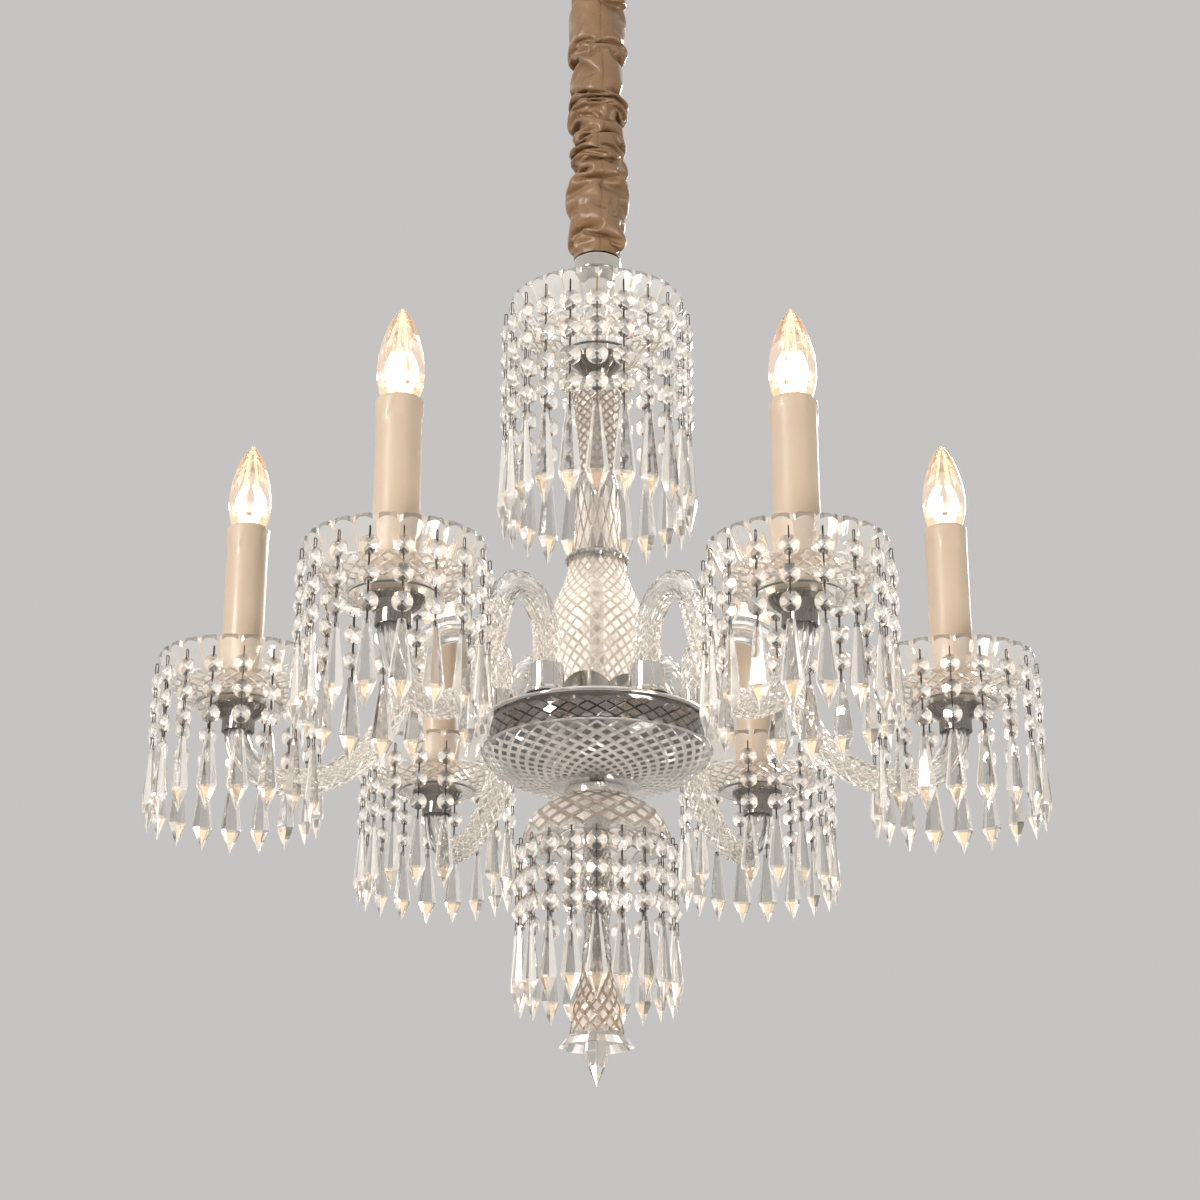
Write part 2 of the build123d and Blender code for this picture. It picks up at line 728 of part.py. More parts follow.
def lampholder():
    """Stalk and screw lampholder inside a candle sleeve."""
    shell_foot = BULB_CAP_BOTTOM - 6
    holder = spun(
        (0, ARM_END_HEIGHT + 3),
        (STALK_R, ARM_END_HEIGHT + 3),
        (STALK_R, shell_foot - 4),
        (SOCKET_SHELL_R, shell_foot),
        (SOCKET_SHELL_R, BULB_NECK - 2),
        (BULB_SEAT_R, BULB_NECK - 2),
        (BULB_SEAT_R, BULB_CAP_BOTTOM - 0.5),
        (0, BULB_CAP_BOTTOM - 0.5),
    )
    return Pos(CANDLE_RADIUS, 0, 0) * holder


def candle_sleeve():
    """Cream candle tube with a thicker wax lip at its top."""
    bore = CANDLE_R - CANDLE_WALL
    foot = DISH_FLOOR + DISH_T
    sleeve = spun(
        (bore, foot),
        (CANDLE_R, foot),
        (CANDLE_R, CANDLE_TOP - 26),
        (CANDLE_R + 0.9, CANDLE_TOP - 23),
        (CANDLE_R + 0.9, CANDLE_TOP - 1),
        (CANDLE_R - 0.2, CANDLE_TOP),
        (bore, CANDLE_TOP),
    )
    return Pos(CANDLE_RADIUS, 0, 0) * sleeve


def bulb():
    """Candle lamp: screw cap, hollow pointed envelope and the filament's glass mount."""
    neck, tip, t = BULB_NECK, BULB_TIP, BULB_GLASS_T
    outer = [(8.6, neck), (12.6, neck + 9), (16.6, neck + 22), (BULB_R, neck + 34)]
    outer += [(16.0, neck + 50), (10.5, neck + 69), (4.2, neck + 81), (0, tip)]
    inner = [(8.6 - t, neck + t), (12.6 - t, neck + 9.3), (16.6 - t, neck + 22.2)]
    inner += [(BULB_R - t, neck + 34), (16.0 - t, neck + 49.6), (10.5 - t, neck + 68.3)]
    inner += [(3.6, neck + 79.8), (0, tip - 2)]
    outer_curve = Spline([(r, 0, up(h)) for r, h in outer])
    inner_curve = Spline([(r, 0, up(h)) for r, h in inner])
    mount_r, mount_top = 3.0, neck + 22.0
    profile = Wire(
        [
            outer_curve,
            Line(outer_curve @ 1, inner_curve @ 1),
            inner_curve,
            Line(inner_curve @ 0, (mount_r, 0, up(neck + t))),
            Line((mount_r, 0, up(neck + t)), (mount_r, 0, up(mount_top - 4))),
            Line((mount_r, 0, up(mount_top - 4)), (0, 0, up(mount_top))),
            Line((0, 0, up(mount_top)), (0, 0, up(neck))),
            Line((0, 0, up(neck)), outer_curve @ 0),
        ]
    )
    envelope = revolve(make_face(profile), Axis.Z)
    cap = spun(
        (0, BULB_CAP_BOTTOM),
        (2.5, BULB_CAP_BOTTOM),
        (4.5, BULB_CAP_BOTTOM + 2.5),
        (BULB_CAP_R, BULB_CAP_BOTTOM + 4),
        (BULB_CAP_R, neck),
        (0, neck),
    )
    return Pos(CANDLE_RADIUS, 0, 0) * Compound(children=[envelope, cap])


# ---------------------------------------------------------------- crystal strands


class Strand:
    """Sizes of one strand, with heights counted above the hub plate.

    A strand is a wire from its rim hole, a row of beads on the wire, and a drop at its end.
    The local frame has the strand on the Z axis with +X pointing outwards.
    """

    def __init__(self, rim_hole, inset, beads, first_bead, pitch, bead_r, drop_hole, drop):
        self.rim_hole = rim_hole
        self.inset = inset
        self.bead_heights = [first_bead - i * pitch for i in range(beads)]
        self.bead_r = bead_r
        self.drop_hole = drop_hole
        self.drop_length, self.drop_width = drop

    def bead(self, height):
        """Octagon bead that faces outwards, a flat double pyramid."""
        ring = polygon(BEAD_SIDES, self.bead_r, self.bead_r, 0)
        depth = BEAD_DEPTH_SHARE * self.bead_r
        body = faceted([[(0, 0, depth)], ring, [(0, 0, -depth)]])
        return Pos(0, 0, up(height)) * Rot(0, 90, 0) * body

    def drop(self):
        """Six-sided spear, flat towards the outside, with its widest part low down."""
        top = self.drop_hole + DROP_CAP
        tip = top - self.drop_length
        widest = top - DROP_WIDEST * self.drop_length
        half_y = self.drop_width / 2
        half_x = half_y * DROP_DEPTH_SHARE
        small = DROP_TOP_SHARE
        return faceted(
            [
                polygon(DROP_SIDES, small * half_x, small * half_y, up(top)),
                polygon(DROP_SIDES, half_x, half_y, up(widest)),
                [(0, 0, up(tip))],
            ]
        )

    def wire(self):
        """Wire that leaves the rim's hole and runs down to the drop's hole."""
        low, high = up(self.drop_hole - 1.0), up(self.rim_hole)
        half, inset = WIRE_T / 2, self.inset
        outline = Polyline(
            (half, 0, low),
            (half, 0, high),
            (-inset, 0, high),
            (-inset, 0, high - WIRE_T),
            (-half, 0, high - WIRE_T),
            (-half, 0, low),
            close=True,
        )
        return extrude(make_face(outline), WIRE_T / 2, dir=(0, 1, 0), both=True)


ARM_STRAND = Strand(42.5, 5.5, 3, 26.3, 20.7, 7.8, -30.5, (65.0, 16.8))
CROWN_STRAND = Strand(361.0, 7.0, 4, 339.5, 25.0, 9.5, 242.5, (86.0, 19.4))
LOWER_STRAND = Strand(-100.0, 6.0, 3, -114.5, 22.0, 8.4, -174.5, (65.5, 16.8))

ARM_STRAND_RING = 67.8
CROWN_STRAND_RING = 78.0
LOWER_STRAND_RING = 62.5
ARM_STRANDS = 18  # places round a candle dish; the one over the arm stays empty
CROWN_STRANDS = 22
LOWER_STRANDS = 20


def ring_places(count, radius, skip=(), phase=0.0):
    """Places round a rim, the first one outwards along +X or a share of a step past it."""
    steps = [i + phase for i in range(count) if i not in skip]
    return [Rot(0, 0, 360 / count * step) * Pos(radius, 0, 0) for step in steps]


def strand_parts(strand, places):
    """Beads, drops and wires of a ring of equal strands."""
    beads = [strand.bead(h) for h in strand.bead_heights]
    drop, wire = strand.drop(), strand.wire()
    return (
        [place * bead for place in places for bead in beads],
        [place * drop for place in places],
        [place * wire for place in places],
    )


# ---------------------------------------------------------------- build


def build():
    """Builds every node and writes it to parts/."""
    os.makedirs("parts", exist_ok=True)

    single = {
        "ceiling_plate": ceiling_plate,
        "ceiling_hook": ceiling_hook,
        "ceiling_rose": ceiling_rose,
        "rose_screws": rose_screws,
        "terminal_block": terminal_block,
        "chain_sleeve": chain_sleeve,
        "stem_loop": stem_loop,
        "central_rod": central_rod,
        "top_collar": top_collar,
        "neck_tube": neck_tube,
        "crown_cup": crown_cup,
        "crown_dish": crown_dish,
        "column_glass": column_glass,
        "column_ring": column_ring,
        "baluster_glass": baluster_glass,
        "petal_cup": petal_cup,
        "hub_plate": hub_plate,
        "hub_drum": hub_drum,
        "bowl_glass": bowl_glass,
        "bowl_ring": bowl_ring,
        "dome_glass": dome_glass,
        "lower_stem": lower_stem,
        "finial_bell": finial_bell,
        "finial_nut": finial_nut,
        "finial_ring": finial_ring,
        "finial_drop": finial_drop,
    }
    for name, make in single.items():
        save(name, make())

    save("top_link", chain_link(0))
    save("chain_links", Compound(children=[chain_link(i) for i in range(1, LINK_COUNT)]))

    per_arm = {
        "glass_arm": glass_arm(),
        "candle_dish": candle_dish(),
        "bulb": bulb(),
    }
    for i in range(ARM_COUNT):
        for name, shape in per_arm.items():
            save(f"{name}_{i + 1}", around(shape, arm_angle(i)))

    grouped = {
        "arm_sockets": arm_socket(),
        "dish_cups": dish_cup(),
        "lampholders": lampholder(),
        "candle_sleeves": candle_sleeve(),
    }
    for name, shape in grouped.items():
        save(name, Compound(children=[around(shape, arm_angle(i)) for i in range(ARM_COUNT)]))

    inward = ARM_STRANDS // 2
    dish_places = ring_places(ARM_STRANDS, ARM_STRAND_RING, skip=(inward,))
    candle_places = []
    for i in range(ARM_COUNT):
        to_candle = Rot(0, 0, arm_angle(i)) * Pos(CANDLE_RADIUS, 0, 0)
        candle_places += [to_candle * place for place in dish_places]
    tiers = {
        "candle": (ARM_STRAND, candle_places),
        "crown": (CROWN_STRAND, ring_places(CROWN_STRANDS, CROWN_STRAND_RING, phase=0.5)),
        "lower": (LOWER_STRAND, ring_places(LOWER_STRANDS, LOWER_STRAND_RING)),
    }
    for name, (strand, places) in tiers.items():
        beads, drops, wires = strand_parts(strand, places)
        save(f"{name}_beads", Compound(children=beads))
        save(f"{name}_drops", Compound(children=drops))
        save(f"{name}_wires", Compound(children=wires))


build()
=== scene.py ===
"""Looks of a six-light crystal chandelier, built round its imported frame.

Metres, +Z up. The origin is the centre of the ceiling plate's top face. Sizes of the glass are in
millimetres, with heights above the hub plate's top face, and up() and polar() turn them into metres
in the frame.
"""

import json
import logging
import math
from dataclasses import dataclass
from enum import Enum
from typing import Callable, Iterable, Sequence

import bmesh
import bpy
import numpy as np
from mathutils import Matrix, Vector, noise


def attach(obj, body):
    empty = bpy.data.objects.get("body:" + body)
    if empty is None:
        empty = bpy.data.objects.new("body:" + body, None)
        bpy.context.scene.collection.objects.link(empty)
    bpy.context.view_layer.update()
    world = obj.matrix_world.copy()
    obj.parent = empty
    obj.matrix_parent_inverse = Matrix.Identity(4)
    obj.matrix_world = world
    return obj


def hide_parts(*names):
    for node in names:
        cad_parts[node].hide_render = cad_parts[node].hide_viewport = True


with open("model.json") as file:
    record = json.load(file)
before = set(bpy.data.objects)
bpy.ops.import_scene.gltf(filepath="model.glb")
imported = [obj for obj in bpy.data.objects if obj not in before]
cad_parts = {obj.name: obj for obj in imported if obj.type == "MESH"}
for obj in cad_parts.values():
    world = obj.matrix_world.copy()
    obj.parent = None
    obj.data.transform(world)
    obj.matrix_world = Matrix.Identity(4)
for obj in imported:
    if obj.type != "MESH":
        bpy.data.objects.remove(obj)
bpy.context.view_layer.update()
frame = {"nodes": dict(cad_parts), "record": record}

LOG = logging.getLogger("chandelier")
MM = 0.001
HUB_Z = -794.0  # hub plate's top face below the ceiling
CANDLE_RADIUS = 288.0  # candle axis to stem axis
BORE_R = 6.3  # hole in every stem piece for the central rod
ARM_COUNT = 6
RIGHT = math.pi / 2
ROUND = 2 * math.pi

Color = tuple[float, float, float]
Point = tuple[float, float]
Points = Iterable[Vector | Sequence[float]]
Ring = Sequence[int]
Surface = Callable[[float, float, float], Vector]


def up(height: float) -> float:
    """Height above the hub plate in millimetres as a z in metres."""
    return (HUB_Z + height) * MM


def polar(radius: float, angle: float, height: float) -> Vector:
    """A point about the Z axis, from millimetres above the hub plate to metres."""
    return Vector((radius * MM * math.cos(angle), radius * MM * math.sin(angle), up(height)))


def circle(radius: float, height: float, count: int) -> list[Vector]:
    """Points round the Z axis at one radius and height."""
    return [polar(radius, ROUND * i / count, height) for i in range(count)]


def arm_turn(index: int) -> Matrix:
    """Turn about the stem that brings the +X arm to an arm's place."""
    return Matrix.Rotation(ROUND * index / ARM_COUNT, 4, "Z")


def candle_place(index: int) -> Matrix:
    """Place of a candle's axis, with local +X pointing away from the stem."""
    return arm_turn(index) @ Matrix.Translation((CANDLE_RADIUS * MM, 0, 0))


def ring_places(count: int, radius: float, skip: Sequence[int] = (), phase: float = 0.0) -> list[Matrix]:
    """Places round a rim, each with local +X pointing outwards.

    Args:
        count: Steps round the rim.
        radius: Radius of the places.
        skip: Steps that stay empty.
        phase: Share of a step by which the first place lies past +X.

    Returns:
        The places.
    """
    out = Matrix.Translation((radius * MM, 0, 0))
    kept = [i for i in range(count) if i not in skip]
    return [Matrix.Rotation(ROUND * (i + phase) / count, 4, "Z") @ out for i in kept]


def off_middle(place: float) -> float:
    """How far a place lies from the middle of its lobe, 0 to 1, where each lobe is 1 long."""
    return abs((place + 0.5) % 1.0 * 2 - 1)


def falling(steps: int) -> list[float]:
    """Shares of a length from its end back to its start in equal steps."""
    return [1 - k / steps for k in range(steps + 1)]


# ---------------------------------------------------------------- meshes


@dataclass(frozen=True)
class Tone:
    """How a facet of cut glass looks.

    Attributes:
        painted_reflection: Painted warm reflection of the lamps above zero, painted dark reflection below.
        painted_highlight: Painted highlight, given as a faint glow of the facet.
        painted_highlight: How much light it throws back.
    """

    painted_reflection: float = 0.0
    painted_highlight: float = 0.0


PLAIN = Tone()
Tones = Sequence[Tone]


class Facet(Enum):
    """Painted highlights and reflections that the facets of a drop take in turn."""

    WHITE = Tone(0.0, 0.75)
    GREY = Tone(-0.65)
    CLEAR = Tone(-0.3)
    AMBER = Tone(0.8, 0.5)
    PALE = Tone(0.2, 0.2)
    DIM = Tone(0.0, 0.25)
    WARM = Tone(0.3, 0.1)
    COOL = Tone(-0.2, 0.3)


class Draft:
    """Vertices and faces gathered before they become one mesh."""

    def __init__(self) -> None:
        """Starts with nothing."""
        self.points: list[Vector] = []
        self.faces: list[tuple[int, ...]] = []
        self.tones: list[Tone] = []

    def add(self, point: Vector | Sequence[float]) -> int:
        """Adds one vertex and returns its index."""
        self.points.append(Vector(point))
        return len(self.points) - 1

    def ring(self, points: Points) -> list[int]:
        """Adds a row of vertices and returns their indices."""
        return [self.add(p) for p in points]

    def face(self, *corners: int, tone: Tone = PLAIN) -> None:
        """Adds one face with its tone."""
        self.faces.append(tuple(corners))
        self.tones.append(tone)

    def bridge(self, first: Ring, second: Ring, tones: Tones = (PLAIN,)) -> None:
        """Joins two closed rings of equal length with quads.

        Args:
            first: One ring.
            second: The other ring.
            tones: Tones of the quads, taken in turn.
        """
        for i, corner in enumerate(first):
            k = (i + 1) % len(first)
            self.face(corner, first[k], second[k], second[i], tone=tones[i % len(tones)])

    def bridge_finer(self, coarse: Ring, fine: Ring) -> None:
        """Joins a closed ring to one with a whole number of times more vertices.

        Args:
            coarse: The ring with fewer vertices.
            fine: The ring whose vertex 0 lies at the coarse ring's vertex 0.
        """
        share = len(fine) // len(coarse)
        middle = share // 2
        for i, corner in enumerate(coarse):
            following = coarse[(i + 1) % len(coarse)]
            run = [fine[(i * share + k) % len(fine)] for k in range(share + 1)]
            for k in range(share):
                self.face(corner if k < middle else following, run[k + 1], run[k])
            self.face(corner, following, run[middle])

    def loft(self, rows: Iterable[Points], before: Ring = (), tones: Tones = (PLAIN,)) -> list[int]:
        """Adds rings of points, each joined to the one before.

        Args:
            rows: Points of each ring.
            before: Ring that the first new one is joined to.
            tones: Tones of the quads between two rings, taken in turn.

        Returns:
            The last ring.
        """
        last = list(before)
        for points in rows:
            ring = self.ring(points)
            if last:
                self.bridge(last, ring, tones)
            last = ring
        return last

    def loop(self, rows: Iterable[Points]) -> None:
        """Adds rings of points, each joined to the next and the last one to the first."""
        start = len(self.points)
        last = self.loft(rows)
        self.bridge(last, range(start, start + len(last)))

    def tip(self, ring: Ring, apex: Sequence[float], tones: Tones = (PLAIN,)) -> None:
        """Closes a ring with triangles that meet at a new vertex.

        Args:
            ring: Ring to close.
            apex: Place of the new vertex.
            tones: Tones of the triangles, taken in turn.
        """
        top = self.add(apex)
        for i, corner in enumerate(ring):
            self.face(corner, ring[(i + 1) % len(ring)], top, tone=tones[i % len(tones)])

    def copies(self, places: Iterable[Matrix]) -> "Draft":
        """A new draft that holds this one at each place.

        Args:
            places: Where the copies go.

        Returns:
            The new draft.
        """
        made = Draft()
        for place in places:
            start = len(made.points)
            made.points += [place @ p for p in self.points]
            made.faces += [tuple(start + i for i in f) for f in self.faces]
            made.tones += self.tones
        return made

    def build(self, name: str, finish: "Finish", sharp_deg: float = 24.0) -> bpy.types.Object:
        """Makes the mesh object.

        Args:
            name: Name of the piece.
            finish: Finish whose material the piece takes.
            sharp_deg: Edges that turn more than this stay crisp.

        Returns:
            The new object, linked to the scene.
        """
        mesh = bpy.data.meshes.new(name)
        mesh.from_pydata([p[:] for p in self.points], [], self.faces)
        # The faces carry their painted reflections and painted highlights as attributes.
        for trait in ("painted_reflection", "painted_highlight"):
            values = [getattr(tone, trait) for tone in self.tones]
            mesh.attributes.new(trait, "FLOAT", "FACE").data.foreach_set("value", values)
        mesh.update()
        shaped = bmesh.new()
        shaped.from_mesh(mesh)
        bmesh.ops.recalc_face_normals(shaped, faces=shaped.faces)
        shaped.to_mesh(mesh)
        shaped.free()
        mesh.polygons.foreach_set("use_smooth", [True] * len(mesh.polygons))
        mesh.set_sharp_from_angle(angle=math.radians(sharp_deg))
        mesh.materials.append(finish.material())
        piece = bpy.data.objects.new(name, mesh)
        bpy.context.scene.collection.objects.link(piece)
        return piece


class Profile:
    """A curve of (radius, height) points in millimetres, read by its arc length."""

    def __init__(self, points: Sequence[Point], smooth: bool = True) -> None:
        """Samples the curve.

        Args:
            points: The curve's points, from one end to the other.
            smooth: Whether the curve is rounded between the points.
        """
        knots = np.array(points, float)
        if smooth:
            padded = np.vstack([2 * knots[0] - knots[1], knots, 2 * knots[-1] - knots[-2]])
            rows = []
            for p0, p1, p2, p3 in zip(padded, padded[1:], padded[2:], padded[3:]):
                for t in np.linspace(0, 1, 24, endpoint=False):
                    bend = 2 * p0 - 5 * p1 + 4 * p2 - p3
                    twist = 3 * p1 - p0 - 3 * p2 + p3
                    rows.append(0.5 * (2 * p1 + (p2 - p0) * t + bend * t**2 + twist * t**3))
            knots = np.array([*rows, knots[-1]])
        self.knots = knots
        self.along = np.concatenate([[0], np.cumsum(np.hypot(*np.diff(knots, axis=0).T))])

    def at(self, share: float) -> Point:
        """The (radius, height) at a share of the curve's length."""
        s = share * self.along[-1]
        return tuple(float(np.interp(s, self.along, column)) for column in self.knots.T)

    def normal(self, share: float) -> Point:
        """The unit normal to the right of the curve's direction."""
        (r0, h0), (r1, h1) = self.at(max(0, share - 0.01)), self.at(min(1, share + 0.01))
        length = math.hypot(r1 - r0, h1 - h0) or 1.0
        return (h1 - h0) / length, -(r1 - r0) / length

    def share_at_radius(self, radius: float) -> float:
        """The share of the length at which the widening end of the curve has this radius."""
        radii = self.knots[:, 0]
        start = int(np.argmin(radii))
        return float(np.interp(radius, radii[start:], self.along[start:])) / self.along[-1]

    def rings(self, shares: Iterable[float], count: int) -> list[list[Vector]]:
        """Rings of points about the stem at shares of the curve's length."""
        return [circle(*self.at(share), count) for share in shares]


@dataclass(frozen=True)
class Lozenges:
    """Crossing V-grooves that leave flat lozenges between them.

    Attributes:
        around: Lozenges round the piece.
        rows: Half lozenges along it.
        depth: Depth of a groove.
        flat: Share of a lozenge that stays flat.
        groove: Painted reflection and highlight of the grooves.
        table: Painted reflection and highlight of the flats, at the brightest.
    """

    around: int
    rows: int
    depth: float
    flat: float
    groove: Tone = Tone(0.4)
    table: Tone = PLAIN

    def cut(self, draft: Draft, surface: Surface) -> tuple[list[int], list[int]]:
        """Cuts the pattern over a closed surface.

        Args:
            draft: Draft that gets the faces.
            surface: Gives the point at half-lozenge counts round and along, and a height in
                millimetres over the surface.

        Returns:
            The vertices of the first and the last row, two for each lozenge.
        """
        columns = 2 * self.around
        lattice: dict[tuple[int, int], int] = {}

        def crossing(i: int, j: int) -> int:
            """Vertex at a groove crossing or on an end row."""
            key = (i % columns, j)
            if key not in lattice:
                lattice[key] = draft.add(surface(key[0], j, -self.depth))
            return lattice[key]

        for j in range(self.rows + 1):
            for i in range(1 - j % 2, columns, 2):
                left, right = crossing(i - 1, j), crossing(i + 1, j)
                if j in (0, self.rows):
                    middle = crossing(i, j)
                    inner = crossing(i, 1 if j == 0 else self.rows - 1)
                    draft.face(left, middle, inner)
                    draft.face(middle, right, inner)
                    continue
                corners = [left, crossing(i, j + 1), right, crossing(i, j - 1)]
                steps = [(-self.flat, 0), (0, self.flat), (self.flat, 0), (0, -self.flat)]
                top = draft.ring(surface(i + a, j + b, 0) for a, b in steps)
                # Each flat's painted highlight is dimmed by its own random share.
                sparkle = 0.5 + 0.5 * noise.noise(Vector((i * 0.71, j * 0.63, self.around)) * 3)
                draft.face(*top, tone=Tone(self.table.painted_reflection, self.table.painted_highlight * sparkle))
                draft.bridge(corners, top, (self.groove,))
        return tuple([crossing(i, j) for i in range(columns)] for j in (0, self.rows))

    def turn(
        self, draft: Draft, profile: Profile, start: float = 0.0, end: float = 1.0
    ) -> tuple[list[int], list[int]]:
        """Cuts the pattern over a turned outline.

        Args:
            draft: Draft that gets the faces.
            profile: Outline, run so that its right-hand side is the outside.
            start: Share of the outline's length at the pattern's first row.
            end: Share of the outline's length at its last row.

        Returns:
            The first and the last row, as cut gives them.
        """

        def surface(i: float, j: float, lift: float) -> Vector:
            """Point of the turned surface."""
            share = start + (end - start) * j / self.rows
            radius, height = profile.at(share)
            out, rise = profile.normal(share)
            return polar(radius + out * lift, math.pi * i / self.around, height + rise * lift)

        return self.cut(draft, surface)

    def shell(
        self, profile: Profile, inside: Iterable[Points], start: float = 0.0, end: float = 1.0
    ) -> Draft:
        """A turned body with a cut outside, closed by plain rings.

        Args:
            profile: Outline of the outside, as turn takes it.
            inside: Points of the rings from the pattern's last row round to its first.
            start: Share of the outline's length at the pattern's first row.
            end: Share of the outline's length at its last row.

        Returns:
            The body.
        """
        draft = Draft()
        first, last = self.turn(draft, profile, start, end)
        draft.bridge(draft.loft(inside, last), first)
        return draft


# ---------------------------------------------------------------- finishes


class Board:
    """Node tree that is filled node by node."""

    def __init__(self, tree: bpy.types.NodeTree) -> None:
        """Takes up a tree."""
        self.tree = tree

    def feed(self, node: bpy.types.Node, inputs: dict) -> None:
        """Sets a node's inputs to values, or links them to sockets.

        Args:
            node: The node.
            inputs: A value, a colour or a source socket for each input's name or number.
        """
        for key, value in inputs.items():
            socket = node.inputs[key]
            if isinstance(value, bpy.types.NodeSocket):
                self.tree.links.new(value, socket)
            else:
                socket.default_value = (*value, 1.0) if socket.type == "RGBA" else value

    def node(self, kind: str, inputs: dict, **settings: object) -> bpy.types.Node:
        """Adds a node.

        Args:
            kind: Its type, without the leading ShaderNode.
            inputs: Its inputs, as feed takes them.
            **settings: Its other properties.

        Returns:
            The node.
        """
        made = self.tree.nodes.new(f"ShaderNode{kind}")
        for name, value in settings.items():
            setattr(made, name, value)
        self.feed(made, inputs)
        return made

    def mask(self, scale: float, low: float, high: float) -> bpy.types.NodeSocket:
        """Places the uneven mask, with its grain's scale and its value at both ends."""
        group = self.node("Group", {}, node_tree=uneven_mask())
        self.feed(group, {"Scale": scale, "Low": low, "High": high})
        return group.outputs["Value"]

    def tint(self, factor: bpy.types.NodeSocket, dark: object, light: object) -> bpy.types.NodeSocket:
        """Mixes two colours, each given or taken from a socket, by a factor."""
        mix = self.node("Mix", {}, data_type="RGBA")
        self.feed(mix, {"Factor": factor, "A": dark, "B": light})
        return mix.outputs["Result"]

    def bump(self, height: bpy.types.NodeSocket, strength: float, distance: float) -> bpy.types.NodeSocket:
        """Turns a height into a bumped normal."""
        inputs = {"Height": height, "Strength": strength, "Distance": distance}
        return self.node("Bump", inputs).outputs["Normal"]


def uneven_mask() -> bpy.types.NodeTree:
    """Shader group with a soft uneven mask for wear, smears and tone, made once.

    Returns:
        The group.
    """
    group = bpy.data.node_groups.get("uneven_mask")
    if group is None:
        group = bpy.data.node_groups.new("uneven_mask", "ShaderNodeTree")
        for name in ("Scale", "Low", "High"):
            group.interface.new_socket(name, in_out="INPUT", socket_type="NodeSocketFloat")
        group.interface.new_socket("Value", in_out="OUTPUT", socket_type="NodeSocketFloat")
        board = Board(group)
        given = group.nodes.new("NodeGroupInput").outputs
        place = board.node("TexCoord", {}).outputs["Object"]
        cloud = board.node("TexNoise", {"Vector": place, "Scale": given["Scale"], "Detail": 5.0})
        spread = board.node("MapRange", {"Value": cloud.outputs["Fac"], "From Min": 0.3, "From Max": 0.7})
        board.feed(spread, {"To Min": given["Low"], "To Max": given["High"]})
        board.feed(group.nodes.new("NodeGroupOutput"), {"Value": spread.outputs["Result"]})
    return group


@dataclass(frozen=True)
class Finish:
    """What every finish of the chandelier has.

    Attributes:
        name: Name of the material.
        slot: Material slot of the record that it stands for.
        color: Base colour, linear.
        roughness: Middle roughness.
        spread: How far the roughness strays to each side.
        scale: Grain of the uneven mask, in cycles per metre.
    """

    name: str
    slot: str
    color: Color
    roughness: float
    spread: float
    scale: float

    def material(self) -> bpy.types.Material:
        """The finish's material, made once."""
        made = bpy.data.materials.get(self.name)
        if made is None:
            made = bpy.data.materials.new(self.name)
            made.use_nodes = True
            board = Board(made.node_tree)
            rough = board.mask(self.scale, self.roughness - self.spread, self.roughness + self.spread)
            inputs = {"Base Color": self.color, "Roughness": rough} | self.look(board)
            board.feed(made.node_tree.nodes["Principled BSDF"], inputs)
        return made

    def look(self, board: Board) -> dict:
        """The shader's inputs past a plain colour and roughness, as Board.feed takes them."""
        return {}


@dataclass(frozen=True)
class Crystal(Finish):
    """Clear cut glass with polished facets, each with a painted warm or dark reflection and a painted
    highlight.

    Attributes:
        ior: Index of refraction.
        clear: Share of the light that passes through.
        glint: Colour of the painted warm reflections.
        dark_reflection: Colour of the painted dark reflections.
        highlight_color: Colour of the painted highlights, given as emission.
        highlight_glow: Strength of that painted highlight's emission.
    """

    ior: float = 1.56
    clear: float = 1.0
    glint: Color = (1.0, 0.66, 0.34)
    dark_reflection: Color = (0.25, 0.24, 0.24)
    highlight_color: Color = (1.0, 0.94, 0.86)
    highlight_glow: float = 0.26

    def look(self, board: Board) -> dict:
        """The inputs for cut glass.

        Args:
            board: The material's nodes.

        Returns:
            The inputs.
        """
        painted_reflection = board.node("Attribute", {}, attribute_name="painted_reflection").outputs["Fac"]
        painted_highlight = board.node("Attribute", {}, attribute_name="painted_highlight").outputs["Fac"]
        # The base colour takes the painted warm and dark reflections, and the emission is the painted
        # highlight.
        cold = board.node("Math", {0: painted_reflection, 1: -1.0}, operation="MULTIPLY", use_clamp=True)
        warm = board.tint(painted_reflection, self.color, self.glint)
        return {
            "Base Color": board.tint(cold.outputs["Value"], warm, self.dark_reflection),
            "Transmission Weight": self.clear,
            "IOR": self.ior,
            "Emission Color": board.tint(painted_highlight, (0.0, 0.0, 0.0), self.highlight_color),
            "Emission Strength": self.highlight_glow,
            "Normal": board.bump(board.mask(90.0, 0.0, 1.0), 0.06, 0.0004),
        }


@dataclass(frozen=True)
class Metal(Finish):
    """Plated or bare metal with faint smears.

    Attributes:
        shade: Colour where the plating is dulled.
    """

    shade: Color = (0.4, 0.38, 0.36)

    def look(self, board: Board) -> dict:
        """The inputs for metal.

        Args:
            board: The material's nodes.

        Returns:
            The inputs.
        """
        return {
            "Base Color": board.tint(board.mask(self.scale * 0.5, 0.0, 0.6), self.color, self.shade),
            "Metallic": 1.0,
            "Normal": board.bump(board.mask(900.0, 0.0, 1.0), 0.03, 0.0002),
        }


@dataclass(frozen=True)
class Wax(Finish):
    """Ivory candle sleeve with a soft waxy depth.

    Attributes:
        shade: Colour in the faint stains.
    """

    shade: Color = (0.68, 0.52, 0.36)

    def look(self, board: Board) -> dict:
        """The inputs for the candle sleeves.

        Args:
            board: The material's nodes.

        Returns:
            The inputs.
        """
        return {
            "Base Color": board.tint(board.mask(45.0, 0.0, 0.35), self.color, self.shade),
            "Subsurface Weight": 0.25,
            "Subsurface Radius": (0.006, 0.004, 0.002),
            "Coat Weight": 0.15,
            "Normal": board.bump(board.mask(260.0, 0.0, 1.0), 0.12, 0.0004),
        }


